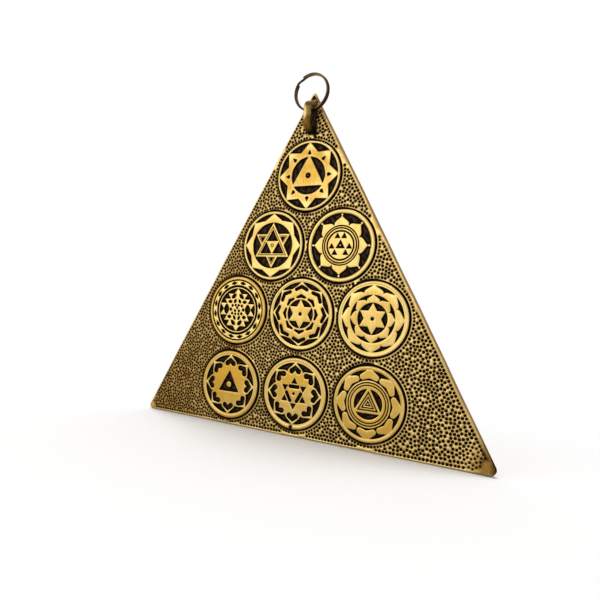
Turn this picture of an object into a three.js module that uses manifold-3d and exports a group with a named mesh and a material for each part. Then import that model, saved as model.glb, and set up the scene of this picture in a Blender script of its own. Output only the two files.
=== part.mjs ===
// A triangular cast brass wall hanging with nine round medallions, a brazed loop and a split ring.
// Millimetres, +Z up, the front faces -Y. The origin is the nail seat, the top of the ring's inside.
import * as THREE from "three";
import { mergeVertices } from "three/addons/utils/BufferGeometryUtils.js";
import Module from "manifold-3d";

const wasm = await Module();
wasm.setup();

// Split ring: two coils of round wire that lie against each other
const ringOuterDiameter = 19.2;
const ringWireDiameter = 1.15;
const ringCoilGap = 0.1;
const ringFirstEnd = -33; // degrees from the top, clockwise as seen from the front
const ringJoggle = 27; // degrees that the wire takes to step from one coil to the other
const ringSteps = 54;

// Hanging loop: a flattened bar bent to a U, both feet brazed on the plate's face
const loopBarWidth = 3.8;
const loopBarThickness = 2.8;
const loopOpeningDepth = 4.2;
const loopOpeningHeight = 10;
const loopBendRadius = 3.2;
const loopShoulderRise = 1.1;
const loopSteps = 22;
const pivotClearance = 0.4;
const coilToFace = 1.3;

// Plate: a hand-cut triangle with a pitted face
const plateHeight = 172.1;
const plateBase = 195.2;
const plateThickness = 2.6;
const tipAboveRingWire = 10.2;
const baseSkew = 1.2; // the right corner hangs this much lower than level, the left one as much higher
const baseShift = 1.3; // the base lies this far right of the tip's middle line
const sideBow = 0.35;
const tipRadius = 0.6;
const leftCornerRadius = 1.7;
const rightCornerRadius = 3.4;
const plateEdgeRound = 0.45;
const edgeSteps = 2;
const cornerSteps = 6;

// Rows from the top: share of the plate's height from the tip down to the centres, pitch between
// them, and the row's own offset to the right
const rows = [
  { down: 0.247, pitch: 0, shift: 0.3, names: ["top"] },
  { down: 0.45, pitch: 38.6, shift: 1.2, names: ["upper_left", "upper_right"] },
  { down: 0.648, pitch: 38.3, shift: 0.85, names: ["middle_left", "middle_centre", "middle_right"] },
  { down: 0.8765, pitch: 39.4, shift: 0.15, names: ["lower_left", "lower_centre", "lower_right"] },
];

// Medallions: struck discs soldered into shallow round seats
const medallionRadius = 17.7;
const drawnRadius = 17.7; // the motifs' sizes are for this radius, and follow the medallion's
const medallionSeatGap = 0.45;
const seatDepth = 0.7;
const solderGap = 0.1;
const wallHeight = 1.1; // from a medallion's back to where its rim starts to round over
const rimHeight = 2;
const faceHeight = 1.85;
const rimWidth = 1.5;
const rimTurnShare = 0.14; // of the rim's width, in from the wall to the middle of its outer round
const rimTurnRise = 0.6; // of the way from the wall's top to the crown, at the same place
const rimCrownShare = 0.45; // of the rim's width, in from the wall to the crown
const cellDepth = 0.8;
const grooveDepth = 0.35;

// Facets of the rounds
const chordError = 0.1; // how far a facet may lie inside the true round
const fewestSides = 8;

// What repeats round a medallion
const petals = 8;
const starPoints = 6;
const arms = 3;

// Solids

function solidOf(geometry) {
  const bare = geometry.clone();
  bare.deleteAttribute("normal");
  bare.deleteAttribute("uv");
  const merged = mergeVertices(bare, 1e-4);
  return new wasm.Manifold(
    new wasm.Mesh({
      numProp: 3,
      vertProperties: new Float32Array(merged.attributes.position.array),
      triVerts: new Uint32Array(merged.index.array),
    }),
  );
}

function geometryOf(solid) {
  const mesh = solid.getMesh();
  const geometry = new THREE.BufferGeometry();
  geometry.setAttribute("position", new THREE.BufferAttribute(mesh.vertProperties, 3));
  geometry.setIndex(new THREE.BufferAttribute(mesh.triVerts, 1));
  geometry.computeVertexNormals();
  return geometry;
}

// A prism of a closed outline between two heights
function prism(outline, low, high) {
  const shape = new THREE.Shape(outline);
  const geometry = new THREE.ExtrudeGeometry(shape, { depth: high - low, bevelEnabled: false });
  geometry.translate(0, 0, low);
  return solidOf(geometry);
}

function joined(solids) {
  return solids.reduce((whole, next) => whole.add(next));
}

// Outlines, in the plane of a medallion's face with v up; angles are degrees from the top, clockwise

function polar(radius, degrees) {
  const angle = THREE.MathUtils.degToRad(degrees);
  return new THREE.Vector2(radius * Math.sin(angle), radius * Math.cos(angle));
}

function stepsRound(radius) {
  return Math.max(fewestSides, Math.ceil(Math.PI / Math.acos(1 - chordError / radius)));
}

function circle(radius, centre = new THREE.Vector2()) {
  const steps = stepsRound(radius);
  return Array.from({ length: steps }, (_, i) => polar(radius, (-360 * i) / steps).add(centre));
}

function star(points, tip, notch) {
  const half = 180 / points;
  return Array.from({ length: 2 * points }, (_, i) => polar(i % 2 ? notch : tip, -half * i));
}

function triangle(radius, centre = new THREE.Vector2(), turn = 0) {
  return [0, -120, -240].map((corner) => polar(radius, corner + turn).add(centre));
}

// A drop or a lozenge that points outwards
function diamond({ outer, inner, widest, spread }, turn) {
  return [
    polar(outer, turn),
    polar(widest, turn - spread),
    polar(inner, turn),
    polar(widest, turn + spread),
  ];
}

// Round a ring of petals: each side runs from the valley over a shoulder and a neck to the tip
function petalRing({ tip, valley, shoulder, neck }) {
  const step = 360 / petals;
  const sideSteps = 3;
  const outline = [];
  for (let i = 0; i < petals; i++) {
    const middle = -step * i;
    const side = (sign) =>
      new THREE.CubicBezierCurve(
        polar(valley, middle + (sign * step) / 2),
        polar(shoulder.radius, middle + sign * shoulder.angle),
        polar(neck.radius, middle + sign * neck.angle),
        polar(tip, middle),
      ).getPoints(sideSteps);
    outline.push(...side(1).slice(0, -1), ...side(-1).reverse().slice(0, -1));
  }
  return outline;
}

// A straight bar between two points, with ends that come to a blunt point
function stroke(from, to, width) {
  const along = to.clone().sub(from).setLength(width / 2);
  const across = new THREE.Vector2(-along.y, along.x);
  return [
    from.clone().sub(across),
    to.clone().sub(across),
    to.clone().add(along),
    to.clone().add(across),
    from.clone().add(across),
    from.clone().sub(along),
  ];
}

// The end of a tangent from a point to a circle, as an angle round the circle's centre
function tangentAngle(point, centre, radius, side) {
  const toPoint = point.clone().sub(centre);
  return Math.atan2(toPoint.y, toPoint.x) + side * Math.acos(radius / toPoint.length());
}

// A heart or a chevron with its tip outwards: two round lobes either side of a notch
function heart({ tip, lobe, lobeAngle, lobeRadius, notch }, turn, lobeSteps = 4) {
  const tipPoint = polar(tip, 0);
  const notchPoint = polar(notch, 0);
  const centre = polar(lobe, lobeAngle);
  const start = tangentAngle(tipPoint, centre, lobeRadius, -1);
  const end = tangentAngle(notchPoint, centre, lobeRadius, 1);
  const sweep = (start - end + 2 * Math.PI) % (2 * Math.PI);
  const rightLobe = Array.from({ length: lobeSteps + 1 }, (_, i) => {
    const angle = start - (sweep * i) / lobeSteps;
    return new THREE.Vector2(Math.cos(angle), Math.sin(angle)).multiplyScalar(lobeRadius).add(centre);
  });
  const leftLobe = rightLobe.map((point) => new THREE.Vector2(-point.x, point.y)).reverse();
  const faceCentre = new THREE.Vector2();
  const angle = -THREE.MathUtils.degToRad(turn);
  const upright = [tipPoint, ...rightLobe, notchPoint, ...leftLobe];
  return upright.map((point) => point.clone().rotateAround(faceCentre, angle));
}

// A triangle moved outwards all round, by scaling it about the middle of its inscribed circle
function offsetTriangle(corners, offset) {
  const opposite = corners.map((_, i) => corners[(i + 1) % 3].distanceTo(corners[(i + 2) % 3]));
  const perimeter = opposite[0] + opposite[1] + opposite[2];
  const middle = new THREE.Vector2();
  corners.forEach((corner, i) => middle.addScaledVector(corner, opposite[i] / perimeter));
  const inscribed = (2 * Math.abs(THREE.ShapeUtils.area(corners))) / perimeter;
  const scale = 1 + offset / inscribed;
  return corners.map((corner) => corner.clone().sub(middle).multiplyScalar(scale).add(middle));
}

// Cutters: each goes down from above the rim to its floor

const cellFloor = faceHeight - cellDepth;
const grooveFloor = faceHeight - grooveDepth;
const overcut = 1; // how far a cutter runs past what it cuts
const cutterTop = rimHeight + overcut;

const cell = (outline) => prism(outline, cellFloor, cutterTop);
const groove = (outline) => prism(outline, grooveFloor, cutterTop);

// Stands through a cutter so that what it covers is left raised
const island = (outline) => prism(outline, cellFloor - overcut, cutterTop + overcut);

function ringGroove({ radius, width }, floor = grooveFloor) {
  const outer = prism(circle(radius + width / 2), floor, cutterTop);
  return outer.subtract(island(circle(radius - width / 2)));
}

// A triangular line, its outer corners at the given radius
function triangleGroove({ radius, width }, turn = 0) {
  const middle = new THREE.Vector2();
  return groove(triangle(radius, middle, turn)).subtract(island(triangle(radius - 2 * width, middle, turn)));
}

function around(count, make, first = 0) {
  return joined(Array.from({ length: count }, (_, i) => make(first + (360 * i) / count)));
}

// Cells between a ring of petals and the circle outside it
function petalCells(petal) {
  return cell(circle(petal.within)).subtract(island(petalRing(petal)));
}

// Cells between a star and the circle round it
function starCells(points, { within, tip, notch }) {
  return cell(circle(within)).subtract(island(star(points, tip, notch)));
}

// Small triangles in the arms of a star: upright ones from the top, inverted ones between them
function uprightInArms({ size, at }) {
  return around(arms, (turn) => cell(triangle(size, polar(at, turn))));
}

function invertedInArms({ size, at }) {
  return around(arms, (turn) => cell(triangle(size, polar(at, turn), 180)), 180 / arms);
}

// Motifs: the sizes of each, and a function that gives the solid to cut out of a plain medallion

const sun = {
  star: { within: 16.2, tip: 17.1, notch: 12.6 },
  drop: { outer: 12.1, inner: 9.9, widest: 10.3, spread: 4 },
  middle: 9.3,
  triangle: 10.7,
  bindu: { radius: 0.95, width: 0.9 },
};

function sunMotif() {
  return joined([
    starCells(petals, sun.star),
    around(petals, (turn) => cell(diamond(sun.drop, turn))),
    cell(circle(sun.middle)).subtract(island(triangle(sun.triangle))),
    ringGroove(sun.bindu),
  ]);
}

const doubleTriangle = {
  petal: {
    within: 16.1,
    tip: 16.7,
    valley: 13.7,
    shoulder: { radius: 14.5, angle: 15 },
    neck: { radius: 15.2, angle: 5 },
  },
  ground: 11.7,
  frame: 11.9,
  line: { radius: 9.9, width: 0.3 },
  upright: { size: 3.1, at: 4.45 },
  inverted: { size: 1.2, at: 6.9 },
  bindu: { radius: 0.7, width: 0.35 },
};

function doubleTriangleMotif() {
  const up = island(triangle(doubleTriangle.frame));
  const down = island(triangle(doubleTriangle.frame, new THREE.Vector2(), 180));
  return joined([
    petalCells(doubleTriangle.petal),
    cell(circle(doubleTriangle.ground)).subtract(up).subtract(down),
    triangleGroove(doubleTriangle.line),
    triangleGroove(doubleTriangle.line, 180).subtract(up),
    uprightInArms(doubleTriangle.upright),
    invertedInArms(doubleTriangle.inverted),
    ringGroove(doubleTriangle.bindu),
  ]);
}

const lotus = {
  petal: {
    within: 15.6,
    tip: 14.7,
    valley: 10.4,
    shoulder: { radius: 12.9, angle: 20 },
    neck: { radius: 12.6, angle: 4 },
  },
  ball: { radius: 0.65, at: 14.85 },
  rings: [
    { radius: 9.5, width: 0.35 },
    { radius: 8.5, width: 0.4 },
    { radius: 7.05, width: 0.55 },
  ],
  seed: { size: 1.35, at: 4.7, spread: 22 },
  middle: { size: 2.4, bindu: 0.55 },
};

function lotusMotif() {
  const { ball, seed, middle } = lotus;
  const balls = around(petals, (turn) => island(circle(ball.radius, polar(ball.at, turn))));
  const seedPair = (turn) =>
    joined([-1, 1].map((side) => cell(triangle(seed.size, polar(seed.at, turn + side * seed.spread)))));
  return joined([
    petalCells(lotus.petal).subtract(balls),
    ...lotus.rings.map((ring) => ringGroove(ring)),
    around(arms, seedPair),
    cell(triangle(middle.size)).subtract(island(circle(middle.bindu))),
  ]);
}

// The nine interlocking triangles follow the traditional rule. The circle is 48 parts across, and
// levels count down from its top. Each triangle has its flat side on a level, with some parts cut
// off both ends of the chord there, and its point on the middle line at another level.
const interlocked = {
  ground: 11.1,
  partsAcross: 48,
  bandWidth: 1.15,
  triangles: [
    { level: 6, cutBack: 3, point: 27 },
    { level: 12, cutBack: 4, point: 42 },
    { level: 17, cutBack: 0, point: 48 },
    { level: 20, cutBack: 16, point: 36 },
    { level: 23, cutBack: 18, point: 30 },
    { level: 27, cutBack: 16, point: 12 },
    { level: 30, cutBack: 0, point: 0 },
    { level: 36, cutBack: 4, point: 6 },
    { level: 42, cutBack: 3, point: 17 },
  ],
  innerRing: { radius: 12.6, width: 0.5 },
  outerRing: { radius: 15.9, width: 0.3 },
  lozenge: { outer: 14.85, inner: 13.65, widest: 14.25, spread: 4.7 },
  lozenges: 16,
};

function interlockedMotif() {
  const { ground, bandWidth, lozenge, lozenges } = interlocked;
  const part = (2 * ground) / interlocked.partsAcross;
  const heightOf = (level) => ground - level * part;
  const bands = interlocked.triangles.map(({ level, cutBack, point }) => {
    const v = heightOf(level);
    const half = Math.sqrt(ground ** 2 - v ** 2) - cutBack * part;
    const left = new THREE.Vector2(-half, v);
    const right = new THREE.Vector2(half, v);
    const corners = [left, new THREE.Vector2(0, heightOf(point)), right];
    const inside = offsetTriangle(corners, -bandWidth / 2);
    return island(offsetTriangle(corners, bandWidth / 2)).subtract(
      prism(inside, cellFloor - 2 * overcut, cutterTop + 2 * overcut),
    );
  });
  return joined([
    cell(circle(ground)).subtract(joined(bands)),
    ringGroove(interlocked.innerRing, cellFloor),
    ringGroove(interlocked.outerRing),
    around(lozenges, (turn) => cell(diamond(lozenge, turn)), 180 / lozenges),
  ]);
}

const beans = {
  petal: {
    within: 15.8,
    tip: 16,
    valley: 13.6,
    shoulder: { radius: 14.4, angle: 16 },
    neck: { radius: 14.8, angle: 6 },
  },
  bean: { tip: 14.9, lobe: 12.4, lobeAngle: 14.6, lobeRadius: 1.1, notch: 12 },
  chevron: { tip: 9.9, lobe: 8.8, lobeAngle: 13.5, lobeRadius: 0.4, notch: 8.8 },
  star: { within: 7, tip: 7.5, notch: 4.6 },
  bindu: 0.85,
};

function beanMotif() {
  return joined([
    petalCells(beans.petal),
    around(petals, (turn) => cell(heart(beans.bean, turn))),
    around(petals, (turn) => cell(heart(beans.chevron, turn, 1))),
    starCells(starPoints, beans.star),
    cell(circle(beans.bindu)),
  ]);
}

const twinLotus = {
  outer: {
    within: 15.9,
    tip: 16,
    valley: 12.8,
    shoulder: { radius: 14.9, angle: 20 },
    neck: { radius: 14.7, angle: 9 },
  },
  inner: {
    within: 11.3,
    tip: 11.4,
    valley: 9,
    shoulder: { radius: 10.6, angle: 20 },
    neck: { radius: 10.3, angle: 9 },
  },
  star: { within: 7.3, tip: 7.9, notch: 4.6 },
  bindu: 0.7,
};

function twinLotusMotif() {
  return joined([
    petalCells(twinLotus.outer),
    petalCells(twinLotus.inner),
    starCells(starPoints, twinLotus.star),
    cell(circle(twinLotus.bindu)),
  ]);
}

// Two medallions share these pointed petals with a heart in each
const ogee = {
  tip: 15.8,
  valley: 10.3,
  shoulder: { radius: 12.7, angle: 21.5 },
  neck: { radius: 13, angle: 4 },
};
const ogeeHeart = { tip: 13.9, lobe: 10.95, lobeAngle: 9.8, lobeRadius: 1.4 };

const risingTriangle = {
  within: 15.4,
  heartNotch: 10.6,
  triangle: 7.5,
  bindu: 1.35,
};

function risingTriangleMotif() {
  const petalHeart = { ...ogeeHeart, notch: risingTriangle.heartNotch };
  return joined([
    petalCells({ ...ogee, within: risingTriangle.within }),
    around(petals, (turn) => cell(heart(petalHeart, turn))),
    cell(triangle(risingTriangle.triangle)).subtract(island(circle(risingTriangle.bindu))),
  ]);
}

const bars = {
  within: 15.6,
  heartNotch: 11.1,
  arm: { size: 1.7, at: 6.1 },
  bar: { at: 3.55, half: 2.15, width: 1 },
  bindu: 0.6,
};

function barsMotif() {
  const petalHeart = { ...ogeeHeart, notch: bars.heartNotch };
  const bar = (turn) => {
    const middle = polar(bars.bar.at, turn);
    const half = polar(bars.bar.half, turn + 90);
    return cell(stroke(middle.clone().sub(half), middle.clone().add(half), bars.bar.width));
  };
  return joined([
    petalCells({ ...ogee, within: bars.within }),
    around(petals, (turn) => cell(heart(petalHeart, turn))),
    uprightInArms(bars.arm),
    invertedInArms(bars.arm),
    around(arms, bar),
    cell(circle(bars.bindu)),
  ]);
}

const nested = {
  within: 15.8,
  heart: { tip: 15.9, lobe: 12.75, lobeAngle: 12.5, lobeRadius: 2, notch: 11.6 },
  edge: 10.7,
  rings: [
    { radius: 9.95, width: 0.4 },
    { radius: 8.8, width: 0.4 },
  ],
  ground: 7.05,
  frame: 8.3,
  lines: [
    { radius: 6.3, width: 0.38 },
    { radius: 3.9, width: 0.36 },
  ],
  middle: { size: 1.75, bindu: 0.45 },
};

function nestedTrianglesMotif() {
  const { middle } = nested;
  return joined([
    cell(circle(nested.within))
      .subtract(island(circle(nested.edge)))
      .subtract(around(petals, (turn) => island(heart(nested.heart, turn)))),
    ...nested.rings.map((ring) => ringGroove(ring)),
    cell(circle(nested.ground)).subtract(island(triangle(nested.frame))),
    ...nested.lines.map((line) => triangleGroove(line)),
    cell(triangle(middle.size)).subtract(island(circle(middle.bindu))),
  ]);
}

const motifs = {
  top: sunMotif,
  upper_left: doubleTriangleMotif,
  upper_right: lotusMotif,
  middle_left: interlockedMotif,
  middle_centre: beanMotif,
  middle_right: twinLotusMotif,
  lower_left: risingTriangleMotif,
  lower_centre: barsMotif,
  lower_right: nestedTrianglesMotif,
};

// Places, all worked out from the nail seat downwards

const ringRadius = (ringOuterDiameter - ringWireDiameter) / 2;
const ringCentreZ = ringWireDiameter / 2 - ringRadius;
const wireZ = ringCentreZ - ringRadius;
const coilOffset = (ringWireDiameter + ringCoilGap) / 2;
const coilsHalf = coilOffset + ringWireDiameter / 2;
const faceY = coilsHalf + coilToFace;
const tipZ = wireZ + tipAboveRingWire;
const medallionBackY = faceY + seatDepth - solderGap;

// Medallion centres in the plate's own plane, u right and v up
const medallionPlaces = rows.flatMap(({ down, pitch, shift, names }) =>
  names.map((name, i) => ({
    name,
    u: shift + (i - (names.length - 1) / 2) * pitch,
    v: tipZ - down * plateHeight,
  })),
);

// One rounded corner of the plate, between the points before and after it; a bow is for the side after it
function roundedCorner(before, corner, after, radius, bow) {
  const back = before.clone().sub(corner).normalize();
  const ahead = after.clone().sub(corner).normalize();
  const half = Math.acos(back.dot(ahead)) / 2;
  const reach = radius / Math.tan(half);
  const start = corner.clone().addScaledVector(back, reach);
  const end = corner.clone().addScaledVector(ahead, reach);
  const inwards = back.clone().add(ahead).normalize();
  const centre = corner.clone().addScaledVector(inwards, radius / Math.sin(half));
  const startAngle = Math.atan2(start.y - centre.y, start.x - centre.x);
  const endAngle = Math.atan2(end.y - centre.y, end.x - centre.x);
  return { start, end, centre, radius, startAngle, endAngle, bow };
}

function plateShape() {
  const tip = new THREE.Vector2(0, tipZ);
  const left = new THREE.Vector2(baseShift - plateBase / 2, tipZ - plateHeight + baseSkew);
  const right = new THREE.Vector2(baseShift + plateBase / 2, tipZ - plateHeight - baseSkew);
  const corners = [
    roundedCorner(right, tip, left, tipRadius, sideBow),
    roundedCorner(tip, left, right, leftCornerRadius, 0),
    roundedCorner(left, right, tip, rightCornerRadius, sideBow),
  ];
  const shape = new THREE.Shape();
  shape.moveTo(corners[0].start.x, corners[0].start.y);
  corners.forEach(({ end, centre, radius, startAngle, endAngle, bow }, i) => {
    shape.absarc(centre.x, centre.y, radius, startAngle, endAngle, false);
    const next = corners[(i + 1) % corners.length].start;
    const side = next.clone().sub(end);
    const outward = new THREE.Vector2(side.y, -side.x).normalize();
    const pull = end.clone().addScaledVector(side, 0.5).addScaledVector(outward, 2 * bow);
    shape.quadraticCurveTo(pull.x, pull.y, next.x, next.y);
  });
  return shape;
}

function plateGeometry() {
  const geometry = new THREE.ExtrudeGeometry(plateShape(), {
    depth: plateThickness - 2 * plateEdgeRound,
    bevelEnabled: true,
    bevelThickness: plateEdgeRound,
    bevelSize: plateEdgeRound,
    bevelOffset: -plateEdgeRound,
    bevelSegments: edgeSteps,
    curveSegments: cornerSteps,
  });
  geometry.translate(0, 0, plateEdgeRound - plateThickness);
  const seatRadius = medallionRadius + medallionSeatGap;
  const seats = medallionPlaces.map(({ u, v }) =>
    prism(circle(seatRadius, new THREE.Vector2(u, v)), -seatDepth, overcut),
  );
  return geometryOf(solidOf(geometry).subtract(joined(seats)));
}

// A turned blank: flat back, upright wall, rounded rim and a flat face inside it
function medallionBlank() {
  const profile = [
    new THREE.Vector2(0, 0),
    new THREE.Vector2(medallionRadius, 0),
    new THREE.Vector2(medallionRadius, wallHeight),
    new THREE.Vector2(
      medallionRadius - rimTurnShare * rimWidth,
      THREE.MathUtils.lerp(wallHeight, rimHeight, rimTurnRise),
    ),
    new THREE.Vector2(medallionRadius - rimCrownShare * rimWidth, rimHeight),
    new THREE.Vector2(medallionRadius - rimWidth, faceHeight),
    new THREE.Vector2(0, faceHeight),
  ];
  const geometry = new THREE.LatheGeometry(profile, stepsRound(medallionRadius));
  geometry.rotateX(Math.PI / 2);
  return solidOf(geometry);
}

function medallionGeometry(name) {
  const enlarged = medallionRadius / drawnRadius;
  return geometryOf(medallionBlank().subtract(motifs[name]().scale([enlarged, enlarged, 1])));
}

// The loop's centre line stands in the plane x = 0, from the plate's face out and back to it
function loopGeometry() {
  const openingTop = wireZ + Math.hypot(coilsHalf, ringWireDiameter / 2) + pivotClearance;
  const top = openingTop + loopBarThickness / 2;
  const bottom = openingTop - loopOpeningHeight - loopBarThickness / 2;
  const foot = faceY - solderGap;
  const rough = foot + loopBarThickness / 2; // the bar is bent long, and then its feet are filed flat
  const front = faceY - loopOpeningDepth - loopBarThickness / 2;
  const bend = loopBendRadius;
  const at = (y, z) => new THREE.Vector3(0, y, z);
  const route = new THREE.CurvePath();
  route.add(new THREE.LineCurve3(at(rough, top + loopShoulderRise), at(front + bend, top)));
  route.add(new THREE.QuadraticBezierCurve3(at(front + bend, top), at(front, top), at(front, top - bend)));
  route.add(new THREE.LineCurve3(at(front, top - bend), at(front, bottom + bend)));
  route.add(new THREE.QuadraticBezierCurve3(at(front, bottom + bend), at(front, bottom), at(front + bend, bottom)));
  route.add(new THREE.LineCurve3(at(front + bend, bottom), at(rough, bottom)));
  const section = new THREE.Shape(circle(loopBarThickness / 2));
  const bar = new THREE.ExtrudeGeometry(section, { steps: loopSteps, extrudePath: route });
  bar.scale(loopBarWidth / loopBarThickness, 1, 1);
  const filings = new THREE.BoxGeometry(2 * loopBarWidth, 2 * loopBarThickness, 4 * loopOpeningHeight);
  filings.translate(0, foot + loopBarThickness, (top + bottom) / 2);
  return geometryOf(solidOf(bar).subtract(solidOf(filings)));
}

// The wire's centre line: one coil, a step across, and the second coil behind the first
class CoilPath extends THREE.Curve {
  getPoint(share, target = new THREE.Vector3()) {
    const coil = 360 - ringJoggle;
    const degrees = share * (2 * coil + ringJoggle);
    const across = THREE.MathUtils.smoothstep(degrees, coil, coil + ringJoggle);
    const angle = THREE.MathUtils.degToRad(ringFirstEnd + degrees);
    return target.set(
      ringRadius * Math.sin(angle),
      THREE.MathUtils.lerp(-coilOffset, coilOffset, across),
      ringCentreZ + ringRadius * Math.cos(angle),
    );
  }
}

function ringGeometry() {
  const section = new THREE.Shape(circle(ringWireDiameter / 2));
  return new THREE.ExtrudeGeometry(section, { steps: ringSteps, extrudePath: new CoilPath() });
}

const brass = { color: 0xc9a24a, metalness: 0.9, roughness: 0.38 };
const darkBronze = { color: 0x5a3c20, metalness: 0.85, roughness: 0.45 };

const hanging = new THREE.Group();

function addMesh(name, geometry, look) {
  const mesh = new THREE.Mesh(geometry, new THREE.MeshStandardMaterial(look));
  mesh.name = name;
  hanging.add(mesh);
  return mesh;
}

// What was drawn flat is stood up by a quarter turn: u right, v up, height towards the front
function stand(mesh, x, y, z) {
  mesh.rotation.x = Math.PI / 2;
  mesh.position.set(x, y, z);
}

addMesh("split_ring", ringGeometry(), darkBronze);
addMesh("hanging_loop", loopGeometry(), brass);
stand(addMesh("plate", plateGeometry(), brass), 0, faceY, 0);

for (const { name, u, v } of medallionPlaces) {
  stand(addMesh("medallion_" + name, medallionGeometry(name), brass), u, medallionBackY, v);
}

export default hanging;
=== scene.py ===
import math
import random

import bpy
import numpy as np
from mathutils import Matrix, Vector, geometry, kdtree


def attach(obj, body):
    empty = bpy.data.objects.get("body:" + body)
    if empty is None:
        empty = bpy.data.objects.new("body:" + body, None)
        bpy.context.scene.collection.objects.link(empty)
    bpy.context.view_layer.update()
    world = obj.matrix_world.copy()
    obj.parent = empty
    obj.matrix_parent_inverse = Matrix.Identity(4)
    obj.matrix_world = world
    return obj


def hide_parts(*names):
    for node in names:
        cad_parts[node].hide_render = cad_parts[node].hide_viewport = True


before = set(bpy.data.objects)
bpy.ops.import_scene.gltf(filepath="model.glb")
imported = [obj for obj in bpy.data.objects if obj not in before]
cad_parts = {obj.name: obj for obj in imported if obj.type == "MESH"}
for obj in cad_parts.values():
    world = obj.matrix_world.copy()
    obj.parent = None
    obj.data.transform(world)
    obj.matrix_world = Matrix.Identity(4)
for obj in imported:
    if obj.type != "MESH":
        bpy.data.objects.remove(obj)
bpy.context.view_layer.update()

mm = 0.001
rng = random.Random(9)

# Everything below is in millimetres until a mesh is made, apart from the lamps and the floor's reach, which are in
# metres: x right, y towards the wall, z up. The origin is the nail seat at the top of the ring's inside.

cameraLook = {
    "place": (140.15, -245.26, -118.0),
    "azimuth": 29.57,      # degrees towards the right of the front
    "tiltUp": 1.24,
    "roll": 3.73,
    "focalPixels": 573.02,
    "imagePixels": 600,
    "sensor": 36.0,
}

light = {
    "keyPlace": (-0.56, -1.02, 0.08), "keySize": 0.8, "keyPower": 2.3,
    "topPlace": (-0.05, 0.16, 1.1), "topSize": 0.62, "topPower": 5.6,
    "sidePlace": (0.62, -0.75, -0.14), "sideSize": 0.4, "sidePower": 0.62,
    "worldLevel": 0.5,     # what the world gives to dull surfaces
    "floorTone": 0.9, "floorSeenTone": 1.2,   # the floor's white on the object, and to the camera
    "floorGap": 0.3,       # millimetres under the base
    "floorReach": 6.0,
    "fadeFrom": 0.055, "fadeTo": 0.17,   # where the floor turns to plain white, in metres out from the base
    "fadeStretch": (0.4, 1, 0),          # less so along the base
}

plate = {
    "height": 172.1, "base": 195.2, "thickness": 2.6,
    "faceY": 2.5, "tipZ": -7.275,
    "baseSkew": 1.2, "baseShift": 1.3, "sideBow": 0.35,
    "tipRadius": 0.5, "leftRadius": 1.7, "rightRadius": 2.3, "edgeRound": 0.45,
    "seatRadius": 18.15, "seatDepth": 0.7, "backRings": 40,
    "seamLoops": (0.25, 0.42),   # lines of points round each seat, in millimetres out from its wall
    "seam": (0.24, 0.6),   # how far the grime round each seat spreads, on its right and on its left
}

rows = [
    {"down": 0.247, "pitch": 0.0, "shift": 0.3, "names": ["top"]},
    {"down": 0.45, "pitch": 38.6, "shift": 1.2, "names": ["upper_left", "upper_right"]},
    {"down": 0.648, "pitch": 38.3, "shift": 0.85, "names": ["middle_left", "middle_centre", "middle_right"]},
    {"down": 0.8765, "pitch": 39.4, "shift": 0.15, "names": ["lower_left", "lower_centre", "lower_right"]},
]

places = {}
for row in rows:
    for i, name in enumerate(row["names"]):
        along = (i - (len(row["names"]) - 1) / 2) * row["pitch"]
        places[name] = (row["shift"] + along, plate["tipZ"] - row["down"] * plate["height"])


# Camera, lamps, world and floor

def makeCamera():
    data = bpy.data.cameras.new("camera")
    data.sensor_width = cameraLook["sensor"]
    data.lens = cameraLook["focalPixels"] / cameraLook["imagePixels"] * cameraLook["sensor"]
    data.clip_start = 0.01
    camera = bpy.data.objects.new("camera", data)
    turn = Matrix.Rotation(math.radians(cameraLook["azimuth"]), 4, "Z")
    tilt = Matrix.Rotation(math.radians(90 + cameraLook["tiltUp"]), 4, "X")
    roll = Matrix.Rotation(math.radians(cameraLook["roll"]), 4, "Z")
    camera.matrix_world = Matrix.Translation(Vector(cameraLook["place"]) * mm) @ turn @ tilt @ roll
    bpy.context.scene.collection.objects.link(camera)
    bpy.context.scene.camera = camera


def makeLamp(name, place, size, power, target=(0, 0, -0.09)):
    data = bpy.data.lights.new(name, "AREA")
    data.shape = "DISK"
    data.size = size
    data.energy = power
    lamp = bpy.data.objects.new(name, data)
    lamp.location = place
    lamp.rotation_euler = (Vector(target) - Vector(place)).to_track_quat("-Z", "Y").to_euler()
    bpy.context.scene.collection.objects.link(lamp)


# A node with its settings; each input gets a plain value or a link from another node
def addNode(tree, kind, inputs=(), **settings):
    node = tree.nodes.new("ShaderNode" + kind)
    for name, setting in settings.items():
        setattr(node, name, setting)
    for socket, value in dict(inputs).items():
        if isinstance(value, bpy.types.NodeSocket):
            tree.links.new(value, node.inputs[socket])
        else:
            node.inputs[socket].default_value = value
    return node


def mathNode(tree, operation, first, second):
    return addNode(tree, "Math", {0: first, 1: second}, operation=operation).outputs[0]


def emptyTree(owner):
    owner.use_nodes = True
    owner.node_tree.nodes.clear()
    return owner.node_tree


def makeWorld():
    world = bpy.data.worlds.new("studio")
    bpy.context.scene.world = world
    tree = emptyTree(world)
    path = addNode(tree, "LightPath").outputs
    seen = mathNode(tree, "MAXIMUM", path["Is Camera Ray"], path["Is Glossy Ray"])
    seen = mathNode(tree, "MAXIMUM", seen, path["Is Transmission Ray"])
    level = addNode(tree, "MapRange", {"Value": seen, "To Min": light["worldLevel"], "To Max": 1.0})
    background = addNode(tree, "Background", {"Color": (1, 1, 1, 1), "Strength": level.outputs["Result"]})
    addNode(tree, "OutputWorld", {"Surface": background.outputs[0]})


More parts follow.
